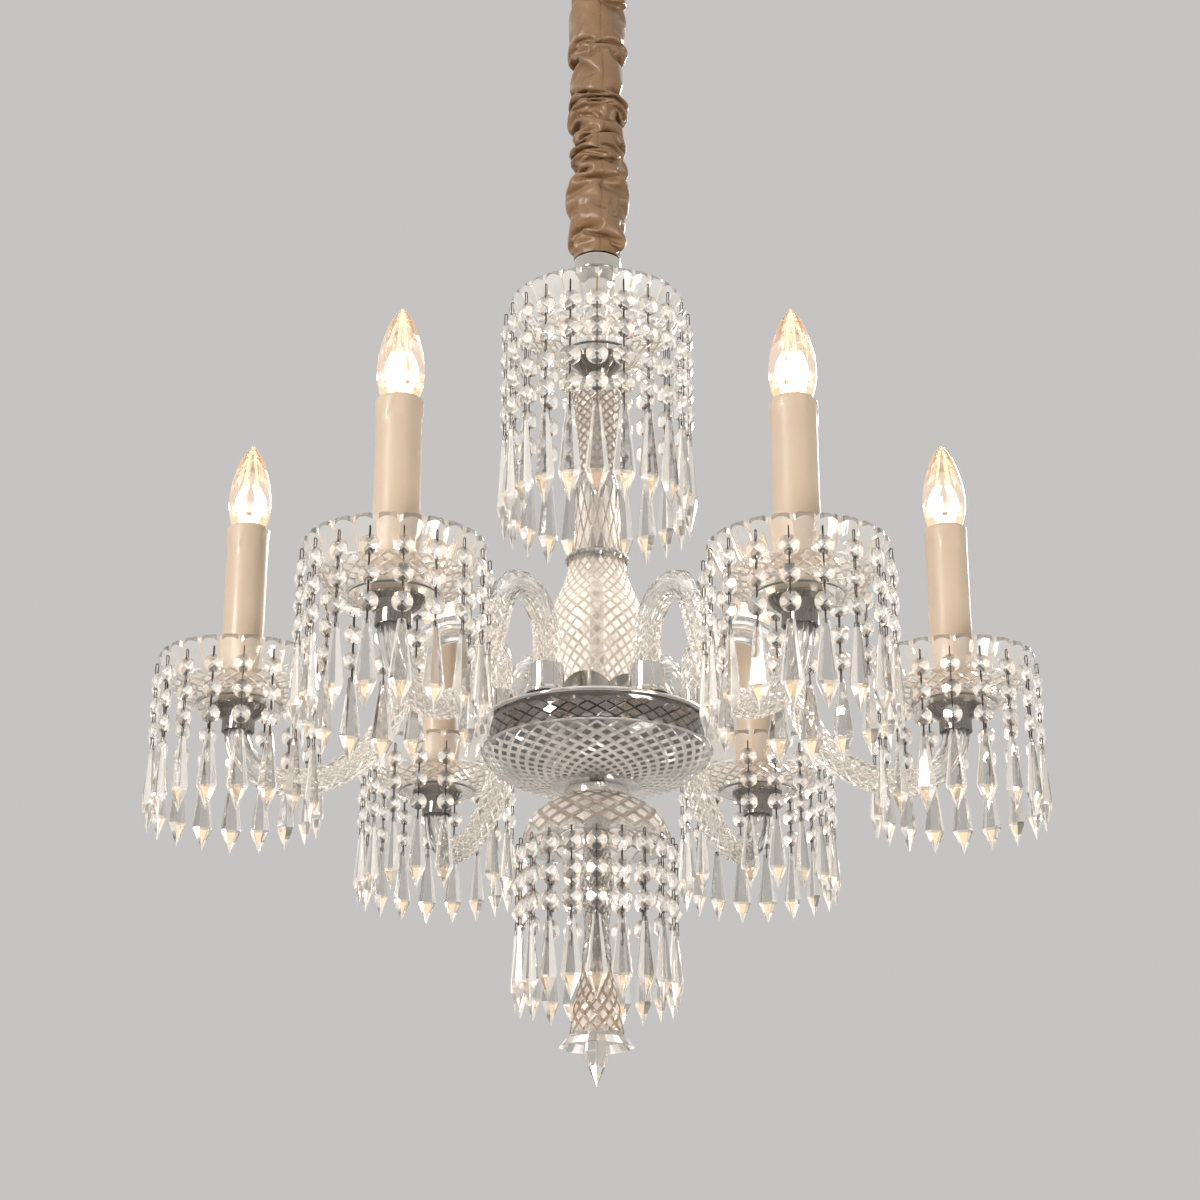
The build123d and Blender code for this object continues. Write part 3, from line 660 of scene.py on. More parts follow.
@dataclass(frozen=True)
class Satin(Finish):
    """Beige satin with a fine weave and a sheen.

    Attributes:
        shade: Colour of the weave's darker threads.
    """

    shade: Color = (0.22, 0.125, 0.062)

    def look(self, board: Board) -> dict:
        """The inputs for the cloth sleeve.

        Args:
            board: The material's nodes.

        Returns:
            The inputs.
        """
        place = board.node("TexCoord", {}).outputs["Object"]
        weave = {"Vector": place, "Scale": 620.0, "Distortion": 1.2, "Detail": 2.0}
        warp = board.node("TexWave", weave, bands_direction="Z").outputs["Fac"]
        stained = {0: warp, 1: 0.25, 2: board.mask(38.0, 0.0, 0.5)}
        both = board.node("Math", stained, operation="MULTIPLY_ADD")
        return {
            "Base Color": board.tint(both.outputs["Value"], self.color, self.shade),
            "Sheen Weight": 0.12,
            "Sheen Roughness": 0.35,
            "Sheen Tint": (1.0, 0.86, 0.66),
            "Anisotropic": 0.5,
            "Normal": board.bump(warp, 0.15, 0.0002),
        }


@dataclass(frozen=True)
class Glow(Finish):
    """A lit filament, or a lamp's lead wire with a painted glow.

    Attributes:
        strength: Strength of the emission.
        light: Colour of the light.
    """

    strength: float
    light: Color

    def look(self, board: Board) -> dict:
        """The inputs for a lit piece."""
        return {"Emission Color": self.light, "Emission Strength": self.strength}


@dataclass(frozen=True)
class LampGlass(Glow):
    """Thin clear lamp glass with a faint painted glow that stands in for the filaments' light in it."""

    def look(self, board: Board) -> dict:
        """The inputs for lamp glass."""
        return Glow.look(self, board) | {"Transmission Weight": 1.0, "IOR": 1.47}


@dataclass(frozen=True)
class Backdrop(Finish):
    """Floor that the camera sees as pale as the backdrop."""

    def look(self, board: Board) -> dict:
        """The inputs for the floor.

        Args:
            board: The material's nodes.

        Returns:
            The inputs.
        """
        seen = board.node("LightPath", {}).outputs["Is Camera Ray"]
        level = board.node("Math", {0: seen, 1: 0.3}, operation="MULTIPLY")
        return {"Emission Strength": level.outputs["Value"], "Emission Color": self.color}


# The crystals' last settings give the strength of their painted highlights, strongest on the stem's glass.
CRYSTAL = Crystal("clear_crystal", "crystal", (0.97, 0.952, 0.925), 0.012, 0.01, 70.0, clear=0.93, highlight_glow=0.25)
CUT_GLASS = Crystal(
    "cut_crystal", "crystal", (0.98, 0.965, 0.935), 0.03, 0.015, 70.0, 1.53, 0.90, (0.84, 0.56, 0.32)
)
STEM_GLASS = Crystal(
    "bright_crystal", "crystal", (0.98, 0.955, 0.92), 0.04, 0.02, 70.0, 1.53, 0.80, (0.62, 0.37, 0.18),
    highlight_glow=1.15,
)
SILVER = Metal("dull_silver", "polished_chrome", (0.66, 0.63, 0.58), 0.10, 0.04, 70.0, (0.42, 0.39, 0.35))
CHROME = Metal("chrome_plate", "polished_chrome", (0.82, 0.80, 0.77), 0.09, 0.04, 70.0, (0.62, 0.58, 0.53))
NICKEL = Metal("dark_nickel", "polished_chrome", (0.34, 0.32, 0.30), 0.12, 0.05, 70.0, (0.20, 0.18, 0.16))
STEEL = Metal("zinc_plate", "plated_steel", (0.62, 0.60, 0.56), 0.28, 0.08, 90.0)
ROD_STEEL = Metal("dark_steel", "plated_steel", (0.16, 0.15, 0.14), 0.3, 0.08, 90.0, (0.08, 0.07, 0.06))
BRASS = Metal("pin_brass", "pin_wire", (0.09, 0.055, 0.03), 0.30, 0.08, 400.0, (0.04, 0.025, 0.015))
WAX = Wax("candle_ivory", "candle_card", (0.72, 0.57, 0.43), 0.42, 0.08, 80.0)
SATIN = Satin("beige_satin", "sleeve_satin", (0.335, 0.195, 0.098), 0.30, 0.06, 120.0)
# The bulb glass's faint emission is a painted glow, not a lamp.
LAMP_GLASS = LampGlass(
    "bulb_glass", "lamp_glass", (1.0, 0.97, 0.93), 0.02, 0.01, 60.0, 0.45, (0.16, 0.085, 0.035)
)
FILAMENT = Glow("lit_filament", "lamp_glass", (1.0, 0.8, 0.5), 0.5, 0.1, 80.0, 5.0, (1.0, 0.86, 0.62))
# The lead wires give no light; their emission is a painted glow from the filaments.
LEAD_WIRE = Glow("lit_wire", "lamp_glass", (0.8, 0.6, 0.4), 0.5, 0.1, 80.0, 0.9, (1.0, 0.80, 0.55))
HOLDER = Finish("ivory_plastic", "holder_plastic", (0.78, 0.75, 0.68), 0.45, 0.08, 150.0)
TERMINAL = Finish("pale_plastic", "terminal_plastic", (0.72, 0.70, 0.62), 0.5, 0.08, 200.0)


def settle(piece: bpy.types.Object, body: str, node: str) -> None:
    """Rides a new piece on its body and hides the node that it takes the place of.

    Args:
        piece: The new piece.
        body: Body that it moves with.
        node: Node that it takes the place of.
    """
    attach(piece, body)
    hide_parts(node)
    LOG.info("%s: %d faces on %s", piece.name, len(piece.data.polygons), body)


# ---------------------------------------------------------------- glass dishes


@dataclass
class ScallopedDish:
    """A cut-glass dish with petals that end in a scalloped rim.

    Attributes:
        rim_r: Radius at a scallop's peak.
        rim: Height of the rim.
        floor_r: Radius of the flat floor.
        floor: Height of the floor's underside.
        thickness: Thickness of the glass.
        bore_r: Radius of the centre hole.
        scallops: Number of scallops.
        notch: How far the rim's radius falls between two scallops.
        fine: Vertices to a scallop.
    """

    rim_r: float
    rim: float
    floor_r: float
    floor: float
    # Pale surroundings for reflections, bright high up with a narrow dark ring.
    thickness: float
    bore_r: float
    scallops: int
    notch: float = 2.3
    fine: int = 8

    def outlines(self) -> tuple[Profile, Profile]:
        """The outer and the inner outline, from the floor to the rim."""
        span, depth, t = self.rim_r - self.floor_r, self.rim - self.floor, self.thickness
        outer = [
            (self.floor_r, self.floor),
            (self.floor_r + 0.40 * span, self.floor + 0.16 * depth),
            (self.floor_r + 0.72 * span, self.floor + 0.47 * depth),
            (self.floor_r + 0.88 * span, self.floor + 0.78 * depth),
            (self.rim_r + 1.5, self.rim + 1.0),
        ]
        inner = [
            (self.floor_r - 1.5, self.floor + t),
            (self.floor_r + 0.34 * span, self.floor + 0.16 * depth + t),
            (self.floor_r + 0.66 * span, self.floor + 0.50 * depth + 0.5 * t),
            (self.floor_r + 0.81 * span, self.floor + 0.81 * depth),
            (self.rim_r - 0.8 * t + 1.5, self.rim + 1.4),
        ]
        return Profile(outer), Profile(inner)

    def row(self, profile: Profile, share: float, groove: float) -> list[Vector]:
        """One ring of points that follow the petals up to the scalloped rim.

        Args:
            profile: Outline of the wall.
            share: Share of the wall's length at which the ring lies.
            groove: Depth of the flute between two petals.

        Returns:
            The points.
        """
        fade = max(0.0, min(1.0, 3 * (share - 0.25), 4 * (1.15 - share)))
        points = []
        for i in range(self.scallops * self.fine):
            across = off_middle(i / self.fine)
            place = share * profile.share_at_radius(self.rim_r - self.notch * across**2)
            radius, height = profile.at(place)
            out, rise = profile.normal(place)
            depth = groove * across**3 * fade
            angle = ROUND * i / (self.scallops * self.fine)
            points.append(polar(radius - out * depth, angle, height - rise * depth))
        return points

    def tones(self, petal: Tone, notch: Tone) -> list[Tone]:
        """Painted reflections and highlights of one petal's faces, with those beside the notch apart."""
        places = [off_middle((i + 0.5) / self.fine) for i in range(self.fine)]
        return [notch if place > 0.8 else petal for place in places]

    def draft(self) -> Draft:
        """The whole dish."""
        draft = Draft()
        outer, inner = self.outlines()
        # Painted warm reflections in the grooves and painted highlights on the flats.
        cut = Lozenges(self.scallops, 6, 0.9, 0.6, Tone(0.4, 0.1), Tone(0.0, 0.8))
        first, last = cut.turn(draft, outer, 0.05, 0.5)
        bore = draft.ring(circle(self.bore_r, self.floor, len(first)))
        foot = draft.loft([circle(self.floor_r, self.floor, len(first))], bore)
        draft.bridge(foot, first)
        outside = [self.row(outer, share, 1.0) for share in (0.56, 0.66, 0.76, 0.86, 0.94, 1.0)]
        inside = [self.row(inner, share, 0.5) for share in (1.0, 0.94, 0.84, 0.72, 0.58, 0.4, 0.2, 0.0)]
        # The walls take painted highlights and warm reflections; the lip a painted dark reflection, with
        # highlights beside the notches.
        wall = self.tones(Tone(0.0, 0.15), Tone(0.3, 0.3))
        lip = self.tones(Tone(-0.8), Tone(0.2, 0.4))
        start = draft.ring(outside[0])
        draft.bridge_finer(last, start)
        edge = draft.loft(outside[1:], start, wall)
        edge = draft.loft(inside[:1], edge, lip)
        edge = draft.loft(inside[1:], edge, wall)
        bed = draft.ring(circle(self.bore_r, self.floor + self.thickness, len(first)))
        draft.bridge_finer(bed, edge)
        draft.bridge(bed, bore)
        return draft


# ---------------------------------------------------------------- crystal strands


@dataclass
class Strands:
    """Beads on pins, each strand ending in a long drop.

    Attributes:
        places: Places of the strands, each with local +X pointing outwards.
        rim_hole: Height of the rim's hole.
        beads: Beads to a strand.
        first_bead: Height of the first bead.
        pitch: Step from bead to bead.
        bead_r: Radius of a bead.
        drop_hole: Height of the drop's hole.
        drop_length: Length of the drop.
        drop_width: Width of the drop.
        pin_r: Radius of the pins' wire.
    """

    places: list[Matrix]
    rim_hole: float
    beads: int
    first_bead: float
    pitch: float
    bead_r: float
    drop_hole: float
    drop_length: float
    drop_width: float
    pin_r: float = 0.42

    def heights(self) -> list[float]:
        """Heights of a strand's beads."""
        return [self.first_bead - k * self.pitch for k in range(self.beads)]

    def bead(self) -> Draft:
        """Round bead that faces +X, cut on each side into four facets round the middle."""
        sides, edge, half = 16, 0.6, RIGHT / 2
        r, thick = self.bead_r, 0.5 * self.bead_r
        slope = (thick - edge) / r

        def spot(radius: float, angle: float, height: float) -> Vector:
            """Point of the outer side."""
            return Vector((height, radius * math.cos(angle), radius * math.sin(angle))) * MM

        outline = [ROUND * k / sides for k in range(sides)]
        side = Draft()
        apex = side.add(spot(0, 0, thick))
        falls = [slope * r * math.cos(abs(a % RIGHT - half) - half) for a in outline]
        rim = side.ring(spot(r, a, thick - fall) for a, fall in zip(outline, falls))
        side.loft([[spot(r, a, 0) for a in outline]], rim)
        ridge = 0.66 * r
        ridge_height = thick - slope * ridge * math.cos(half)
        corners = side.ring(spot(ridge, half + RIGHT * k, ridge_height) for k in range(4))
        # The facets carry painted light: a painted highlight, painted dark reflections and painted warm
        # reflections with highlights.
        tones = (Tone(0.0, 0.85), Tone(-0.4, 0.1), Tone(0.1, 0.45), Tone(-0.7))
        for k, tone in enumerate(tones):
            first, last = corners[k - 1], corners[k]
            arc = [rim[(4 * k + step) % sides] for step in (-1, 0, 1, 2, 3)]
            side.face(apex, first, *arc[:3], last, tone=tone)
            side.face(last, *arc[2:], tone=Tone(0.55, 0.2))
        return side.copies([Matrix.Identity(4), Matrix.Scale(-1, 4, (1, 0, 0))])

    def drop(self) -> Draft:
        """Flat six-sided spear with its widest part low down and a bevelled point."""
        draft = Draft()
        top = self.drop_hole + 3.0
        sections = [  # share of the width, share of the length, share of the width at the flats
            (0.22, 0.0, 0.5), (0.36, 0.015, 0.5), (0.42, 0.10, 0.5), (1.0, 0.68, 0.56), (0.98, 0.70, 0.54),
            (0.50, 0.85, 0.42),
        ]
        rows = []
        for share, along, flat in sections:
            w, d = 0.5 * share * self.drop_width, 0.27 * share * self.drop_width
            z = up(top - along * self.drop_length)
            corners = [(0, w), (d, flat * w), (d, -flat * w), (0, -w), (-d, -flat * w), (-d, flat * w)]
            rows.append([(x * MM, y * MM, z) for x, y in corners])
        # Painted highlights and painted warm and dark reflections, facet by facet.
        body = (Facet.WHITE, Facet.CLEAR, Facet.PALE, Facet.WHITE, Facet.CLEAR, Facet.GREY)
        foot = (Facet.WHITE, Facet.AMBER, Facet.DIM, Facet.GREY, Facet.AMBER, Facet.WHITE)
        point = (Facet.WHITE, Facet.WARM, Facet.COOL)
        cap = draft.ring(rows[0])
        draft.face(*cap)
        ring = draft.loft(rows[1:5], cap, [facet.value for facet in body])
        ring = draft.loft(rows[5:], ring, [facet.value for facet in foot])
        draft.tip(ring, (0, 0, up(top - self.drop_length)), [facet.value for facet in point])
        return draft

    def pin(self, draft: Draft, high: float, low: float, spread: float = 1.0) -> None:
        """Adds a closed wire loop across the strand between two holes.

        Args:
            draft: Draft that gets the loop.
            high: Height of the upper hole.
            low: Height of the lower hole.
            spread: Half the loop's width, along local X.
        """
        turns, sides = 12, 5
        rows = []
        for i in range(turns):
            angle = ROUND * i / turns
            outward = Vector((math.cos(angle), 0, math.sin(angle)))
            end = (high - low) / 2 if math.sin(angle) > 0 else (low - high) / 2
            row = []
            for k in range(sides):
                around = ROUND * k / sides
                bend = outward * math.cos(around) + Vector((0, 1, 0)) * math.sin(around)
                wire = spread * outward + self.pin_r * bend
                row.append((wire.x * MM, wire.y * MM, (wire.z + end) * MM + up((high + low) / 2)))
            rows.append(row)
        draft.loop(rows)

    def pins(self) -> Draft:
        """The pins of one strand."""
        draft = Draft()
        hole = self.bead_r - 1.6
        heights = self.heights()
        self.pin(draft, self.rim_hole - 3.0, heights[0] + hole, 1.2)
        for above, below in zip(heights, heights[1:]):
            self.pin(draft, above - hole, below + hole)
        self.pin(draft, heights[-1] - hole, self.drop_hole + 0.5)
        return draft

    def make(self, tier: str) -> None:
        """Builds the tier's beads, drops and pins.

        Args:
            tier: Name of the tier.
        """
        beads = self.bead().copies(Matrix.Translation((0, 0, up(h))) for h in self.heights())
        pieces = (
            ("star_beads", beads, CRYSTAL, 8.0, "beads"),
            ("spear_drops", self.drop(), CRYSTAL, 8.0, "drops"),
            ("wire_pins", self.pins(), BRASS, 50.0, "wires"),
        )
        for name, one, finish, sharp, node in pieces:
            piece = one.copies(self.places).build(f"{tier}_{name}", finish, sharp)
            settle(piece, "fixture", f"{tier}_{node}")


# ---------------------------------------------------------------- stem


@dataclass
class Stem:
    """Bodies that are strung on the central rod, by the heights of their ends."""

    column_top: float = 302.0
    column_foot: float = 142.0
    ring_foot: float = 135.0
    baluster_foot: float = 5.0
    bowl_rim: float = -26.0
    bowl_foot: float = -57.0
    dome_top: float = -65.0
    dome_rim: float = -104.0
    spindle_foot: float = -195.0
    bell_lip: float = -262.0

    def column(self) -> Draft:
        """Slender column with long cuts at its foot and small ones above."""
        top, foot = self.column_top, self.column_foot
        outer = Profile([
            (21, foot), (19.4, foot + 20), (18.8, top - 112), (19.4, top - 70), (21, top - 28),
            (21, top - 9), (17, top - 2.5), (9, top),
        ])
        inner = Profile([
            (17, foot), (15.6, foot + 20), (15, top - 112), (15.6, top - 70), (17, top - 29),
            (17, top - 13), (13, top - 6.5), (BORE_R, top - 4),
        ])
        draft = Draft()
        # Both bands take painted warm reflections in their grooves and painted highlights on their flats.
        low = Lozenges(16, 4, 1.0, 0.78, Tone(0.5), Tone(0.0, 0.35))
        high = Lozenges(16, 20, 0.9, 0.62, Tone(0.5), Tone(0.0, 0.25))
        first, middle = low.turn(draft, outer, 0.0, 0.36)
        start, last = high.turn(draft, outer, 0.40, 0.88)
        draft.bridge(middle, start)
        rows = outer.rings([0.92, 0.96, 1.0], len(last))
        rows += inner.rings([1.0, 0.95, 0.9, 0.8, 0.6, 0.4, 0.2, 0.0], len(last))
        draft.bridge(draft.loft(rows, last), first)
        return draft

    def baluster(self) -> Draft:
        """Diamond-cut vase above the hub."""
        top, foot = self.ring_foot, self.baluster_foot
        outer = [
            (27.5, foot), (28, foot + 15), (31.5, foot + 35), (36.5, foot + 55), (39, top - 55),
            (38, top - 45), (33, top - 31), (26, top - 14), (23.5, top),
        ]
        inner = Profile([(r - 4.5, h) for r, h in outer])
        # Painted warm reflections in the grooves and painted highlights on the flats.
        cut = Lozenges(22, 26, 1.4, 0.68, Tone(0.55, 0.1), Tone(0.0, 0.6))
        return cut.shell(Profile(outer), inner.rings(falling(16), 2 * cut.around))

    def bowl(self) -> Draft:
        """Diamond-cut bowl that closes the hub from below."""
        rim, foot = self.bowl_rim, self.bowl_foot
        outer = Profile([(34, foot), (55, rim - 27), (75, rim - 19.5), (88, rim - 9.5), (93, rim)])
        inner = Profile([(30, foot + 3.5), (53, rim - 23.5), (73, rim - 16), (85, rim - 7.5), (89.5, rim)])
        # The grooves take painted warm reflections and highlights, the flats a painted dark reflection.
        cut = Lozenges(36, 14, 1.4, 0.56, Tone(0.15, 0.34), Tone(-0.55))
        count = 2 * cut.around
        rows = outer.rings([1.0], count) + inner.rings(falling(10), count)
        rows += [circle(BORE_R, h, count) for h in (foot + 3.5, foot)]
        return cut.shell(outer, rows, 0.0, 0.97)

    def dome(self) -> Draft:
        """Cut dome, open below, that carries the lower strands."""
        top, rim, t = self.dome_top, self.dome_rim, 3.5
        outer = Profile([(60.5, rim), (57, top - 26), (49, top - 13), (37, top - 4), (23, top)])
        inner = Profile([(57, rim), (53.5, top - 27), (46, top - 14), (35, top - 4 - t), (21, top - t)])
        # Painted warm reflections in the grooves and painted highlights on the flats.
        cut = Lozenges(18, 8, 1.1, 0.62, Tone(0.5), Tone(0.0, 0.32))
        count = 2 * cut.around
        rows = [circle(BORE_R, h, count) for h in (top, top - t)]
        rows += inner.rings(falling(10), count) + outer.rings([0.0], count)
        return cut.shell(outer, rows, 0.06, 1.0)

    def spindle(self) -> Draft:
        """Cut spindle round the rod, inside the lower strands."""
        top, foot = self.dome_top - 3.5, self.spindle_foot
        outline = Profile([(12, foot), (10, top - 100), (13.5, top - 62), (10, top - 30), (13, top)])
        # Painted warm reflections in the grooves.
        cut = Lozenges(8, 20, 0.7, 0.7, Tone(0.2))
        return cut.shell(outline, [circle(BORE_R, h, 2 * cut.around) for h in (top, foot)])

    def bell(self) -> Draft:
        """Flared bell at the foot of the stem, with cut lozenges and a fluted lip."""
        top, lip, t = self.spindle_foot, self.bell_lip, 3.0
        outer = Profile([
            (29, lip), (24.2, lip + 6), (21, lip + 12.5), (18.6, lip + 28), (16.6, lip + 38),
            (13, lip + 53), (11.5, top),
        ])
        inner = Profile([
            (26.5, lip), (21.2, lip + 7), (18, lip + 13), (15.6, lip + 28), (13.6, lip + 38),
            (10, lip + 53), (8.5, top - t),
        ])
        draft = Draft()
        # Painted warm reflections in the grooves and painted highlights on the flats.
        cut = Lozenges(12, 9, 1.2, 0.62, Tone(0.7), Tone(0.0, 0.3))
        first, last = cut.turn(draft, outer, 0.17, 1.0)
        count = len(first)
        rows = [circle(BORE_R, h, count) for h in (top, top - t)] + inner.rings(falling(10), count)
        fluted = []
        for share, flute in ((0.0, 0.3), (0.05, 0.9), (0.11, 0.8)):
            radius, height = outer.at(share)
            radii = [radius - (flute if k % 2 else 0.0) for k in range(count)]
            fluted.append([polar(r, ROUND * k / count, height) for k, r in enumerate(radii)])
        # The flutes take painted highlights and painted warm and dark reflections in turn; the band below
        # them a painted dark reflection.
        tones = (Tone(0.2, 0.5), Tone(-0.4), Tone(0.5, 0.1), Tone(0.0, 0.2))
        edge = draft.loft(fluted, draft.loft(rows, last), tones)
        draft.bridge(edge, first, (Tone(-0.4),))
        return draft

    def petals(self) -> Draft:
        """Cup of six round petals that lean outwards round the baluster's foot."""
        count, petals = 120, 6
        shares = (0.0, 0.25, 0.5, 0.75, 0.92, 1.0)
        rows = []
        for base_r, top_r, drop, order in ((31.0, 38.5, 0.0, shares), (29.3, 36.8, 0.6, shares[::-1])):
            for share in order:
                row = []
                for i in range(count):
                    across = off_middle(i * petals / count)
                    crest = 30.0 - 8.5 * across**2.2 - drop
                    belly = 1.8 * (1 - across**2) * share
                    radius = base_r + (top_r - base_r) * share**1.5 + belly
                    row.append(polar(radius, ROUND * i / count + math.radians(15), crest * share))
                rows.append(row)
        draft = Draft()
        draft.loop(rows + [circle(BORE_R, h, count) for h in (1.8, 0.0)])
        return draft

    def pleated_ring(self) -> Draft:
        """Metal collar with round pleats between the column and the baluster."""
        pleats, fine = 18, 8
        count = pleats * fine
        rows = []
        for radius, lift in ((22.2, 0.0), (24.6, 0.4), (26.0, 2.6), (25.2, 5.2), (22.8, 7.0)):
            swell = 1.5 * math.sin(math.pi * min(1.0, (lift + 0.8) / 7.8))
            outs = [swell * (abs(math.sin(math.pi * i / fine)) ** 0.6 - 0.6) for i in range(count)]
            height = self.ring_foot + lift
            rows.append([polar(radius + out, ROUND * i / count, height) for i, out in enumerate(outs)])
        draft = Draft()
        draft.loop(rows + [circle(BORE_R, h, count) for h in (self.column_foot, self.ring_foot)])
        return draft

    def drum(self) -> Draft:
        """Wiring drum under the hub plate, its side cut with lozenges."""
        top, foot, radius = -4.0, -25.0, 86.0
        side = Profile([(radius, foot + 2), (radius, top - 2)], smooth=False)
        cut = Lozenges(36, 4, 1.1, 0.78)
        outline = [(radius, top), (radius - 2, top), (radius - 2, foot), (radius, foot)]
        return cut.shell(side, [circle(r, h, 2 * cut.around) for r, h in outline])

    def make(self) -> None:
        """Builds every body of the stem that the frame has only in its plain shape."""
        crown = ScallopedDish(76.0, 370.0, 32.0, 322.0, 4.0, BORE_R, 30)
        bodies = (
            ("crown_dish", crown.draft(), CUT_GLASS),
            ("column_glass", self.column(), STEM_GLASS),
            ("baluster_glass", self.baluster(), STEM_GLASS),
            ("bowl_glass", self.bowl(), CUT_GLASS),
            ("dome_glass", self.dome(), STEM_GLASS),
            ("lower_stem", self.spindle(), CUT_GLASS),
            ("finial_bell", self.bell(), STEM_GLASS),
            ("petal_cup", self.petals(), SILVER),
            ("column_ring", self.pleated_ring(), SILVER),
            ("hub_drum", self.drum(), NICKEL),
        )
        for node, draft, finish in bodies:
            verb, sharp = ("cut", 12.0) if isinstance(finish, Crystal) else ("shaped", 30.0)
            settle(draft.build(f"{verb}_{node}", finish, sharp), "fixture", node)


@dataclass
class HangingDrop:
    """Large pointed crystal below the bell."""

    top: float = -216.0
    tip: float = -292.0
    half_width: float = 10.7

    def make(self) -> None:
        """Builds the drop with long facets and a short point."""
        draft = Draft()
        count = 8
        rows = []
        sections = [(0.18, 0.0), (0.30, 0.03), (0.34, 0.1), (1.0, 0.66), (0.95, 0.70), (0.45, 0.86)]
        for share, along in sections:
            z = up(self.top + (self.tip - self.top) * along)
            r = self.half_width * share * MM
            turns = [ROUND * k / count for k in range(count)]
            rows.append([(r * math.cos(a), 0.62 * r * math.sin(a), z) for a in turns])
        cap = draft.ring(rows[0])
        draft.face(*cap)
        # Painted highlights and a painted dark reflection on the facets.
        last = draft.loft(rows[1:], cap, (Tone(0.1, 0.5), PLAIN, Tone(-0.3), PLAIN))
        draft.tip(last, (0, 0, up(self.tip)), (Tone(0.1, 0.3),))
        settle(draft.build("pointed_drop", CRYSTAL, 10.0), "finial_pendant", "finial_drop")


# ---------------------------------------------------------------- arms


@dataclass
class GlassArms:
    """Hollow S-curved glass arms cut with lozenges.

    Sizes are those of the frame's arms, in millimetres and degrees.
    """

    tube_r: float = 11.0
    bore_r: float = 4.5
    root_radius: float = 79.0
    root: float = 2.0
    arch_r: float = 35.0
    spring: float = 44.0
    descent_deg: float = 70.0
    low: float = -52.0
    end_r: float = 44.0
    end: float = 0.0

    def path(self, steps: int) -> list[tuple[float, float, float]]:
        """The arm's centreline.

        Args:
            steps: Number of equal steps along it.

        Returns:
            One (radius, height, direction) for each step's end, the direction in radians
            from the outward level.
        """
        turn = math.radians(self.descent_deg)
        sin_d, cos_d = math.sin(turn), math.cos(turn)
        arch_end = self.root_radius + self.arch_r + self.arch_r * sin_d
        across = CANDLE_RADIUS - self.end_r - arch_end
        down = self.spring + self.arch_r * cos_d - self.low
        swing = (across * sin_d - down * cos_d) / (sin_d**2 - cos_d * (1 - cos_d))
        run = (across - swing * sin_d) / cos_d
        pieces = [
            (self.spring - self.root, 0.0),
            (self.arch_r * (RIGHT + turn), -1 / self.arch_r),
            (run, 0.0),
            (swing * turn, 1 / swing),
            (self.end_r * RIGHT, 1 / self.end_r),
            (self.end - self.low - self.end_r, 0.0),
        ]
        fine = 12
        step = sum(length for length, _ in pieces) / (steps * fine)
        x, z, heading = self.root_radius, self.root, RIGHT
        rows = [(x, z, heading)]
        travelled = 0.0
        for k in range(steps * fine):
            bend, edge = 0.0, 0.0
            for length, curve in pieces:
                edge += length
                bend = curve
                if travelled + step / 2 < edge:
                    break
            heading += bend * step / 2
            x += math.cos(heading) * step
            z += math.sin(heading) * step
            heading += bend * step / 2
            travelled += step
            if (k + 1) % fine == 0:
                rows.append((x, z, heading))
        return rows

    def draft(self) -> Draft:
        """One arm in the direction of +X, cut at its root and over its long sweep."""
        around, steps = 9, 72
        count = 2 * around
        radii, heights, headings = (np.array(column) for column in zip(*self.path(steps)))
        stations = np.arange(steps + 1)

        def point(i: float, j: float, radius: float) -> Vector:
            """Point at a radius from the centreline."""
            j = min(max(j, 0.0), float(steps))
            x, z, heading = (np.interp(j, stations, row) for row in (radii, heights, headings))
            angle = ROUND * i / count
            aside, above = radius * math.sin(angle), radius * math.cos(angle)
            x -= above * math.sin(heading)
            return Vector((x * MM, aside * MM, up(z + above * math.cos(heading))))

        def ring(j: float, radius: float, flute: float = 0.0) -> list[Vector]:
            """Points round the centreline, every other one sunk by the flute's depth."""
            return [point(k, j, radius - (flute if k % 2 else 0.0)) for k in range(count)]

        draft = Draft()
        edges = []
        for low, high in ((0, 12), (26, 62)):
            # Painted warm reflections and highlights in the grooves, faint painted dark reflections on the
            # flats.
            cut = Lozenges(around, high - low, 0.9, 0.7, Tone(0.3, 0.45), Tone(-0.05, 0.05))
            edges.append(cut.cut(draft, lambda i, j, lift: point(i, low + j, self.tube_r + lift)))
        (first, before), (after, last) = edges
        plain = [ring(j, self.tube_r) for j in range(13, 26)]
        draft.bridge(draft.loft(plain, before), after)
        fluted = [ring(j, self.tube_r, 0.9) for j in range(63, steps + 1)]
        bore = [ring(j, self.bore_r) for j in range(steps, -1, -2)]
        draft.bridge(draft.loft(fluted + bore, last), first)
        return draft

    def make(self) -> None:
        """Builds the six arms."""
        one = self.draft()
        for i in range(ARM_COUNT):
            arm = one.copies([arm_turn(i)]).build(f"cut_arm_{i + 1}", CUT_GLASS, 12.0)
            settle(arm, "fixture", f"glass_arm_{i + 1}")


# ---------------------------------------------------------------- candles


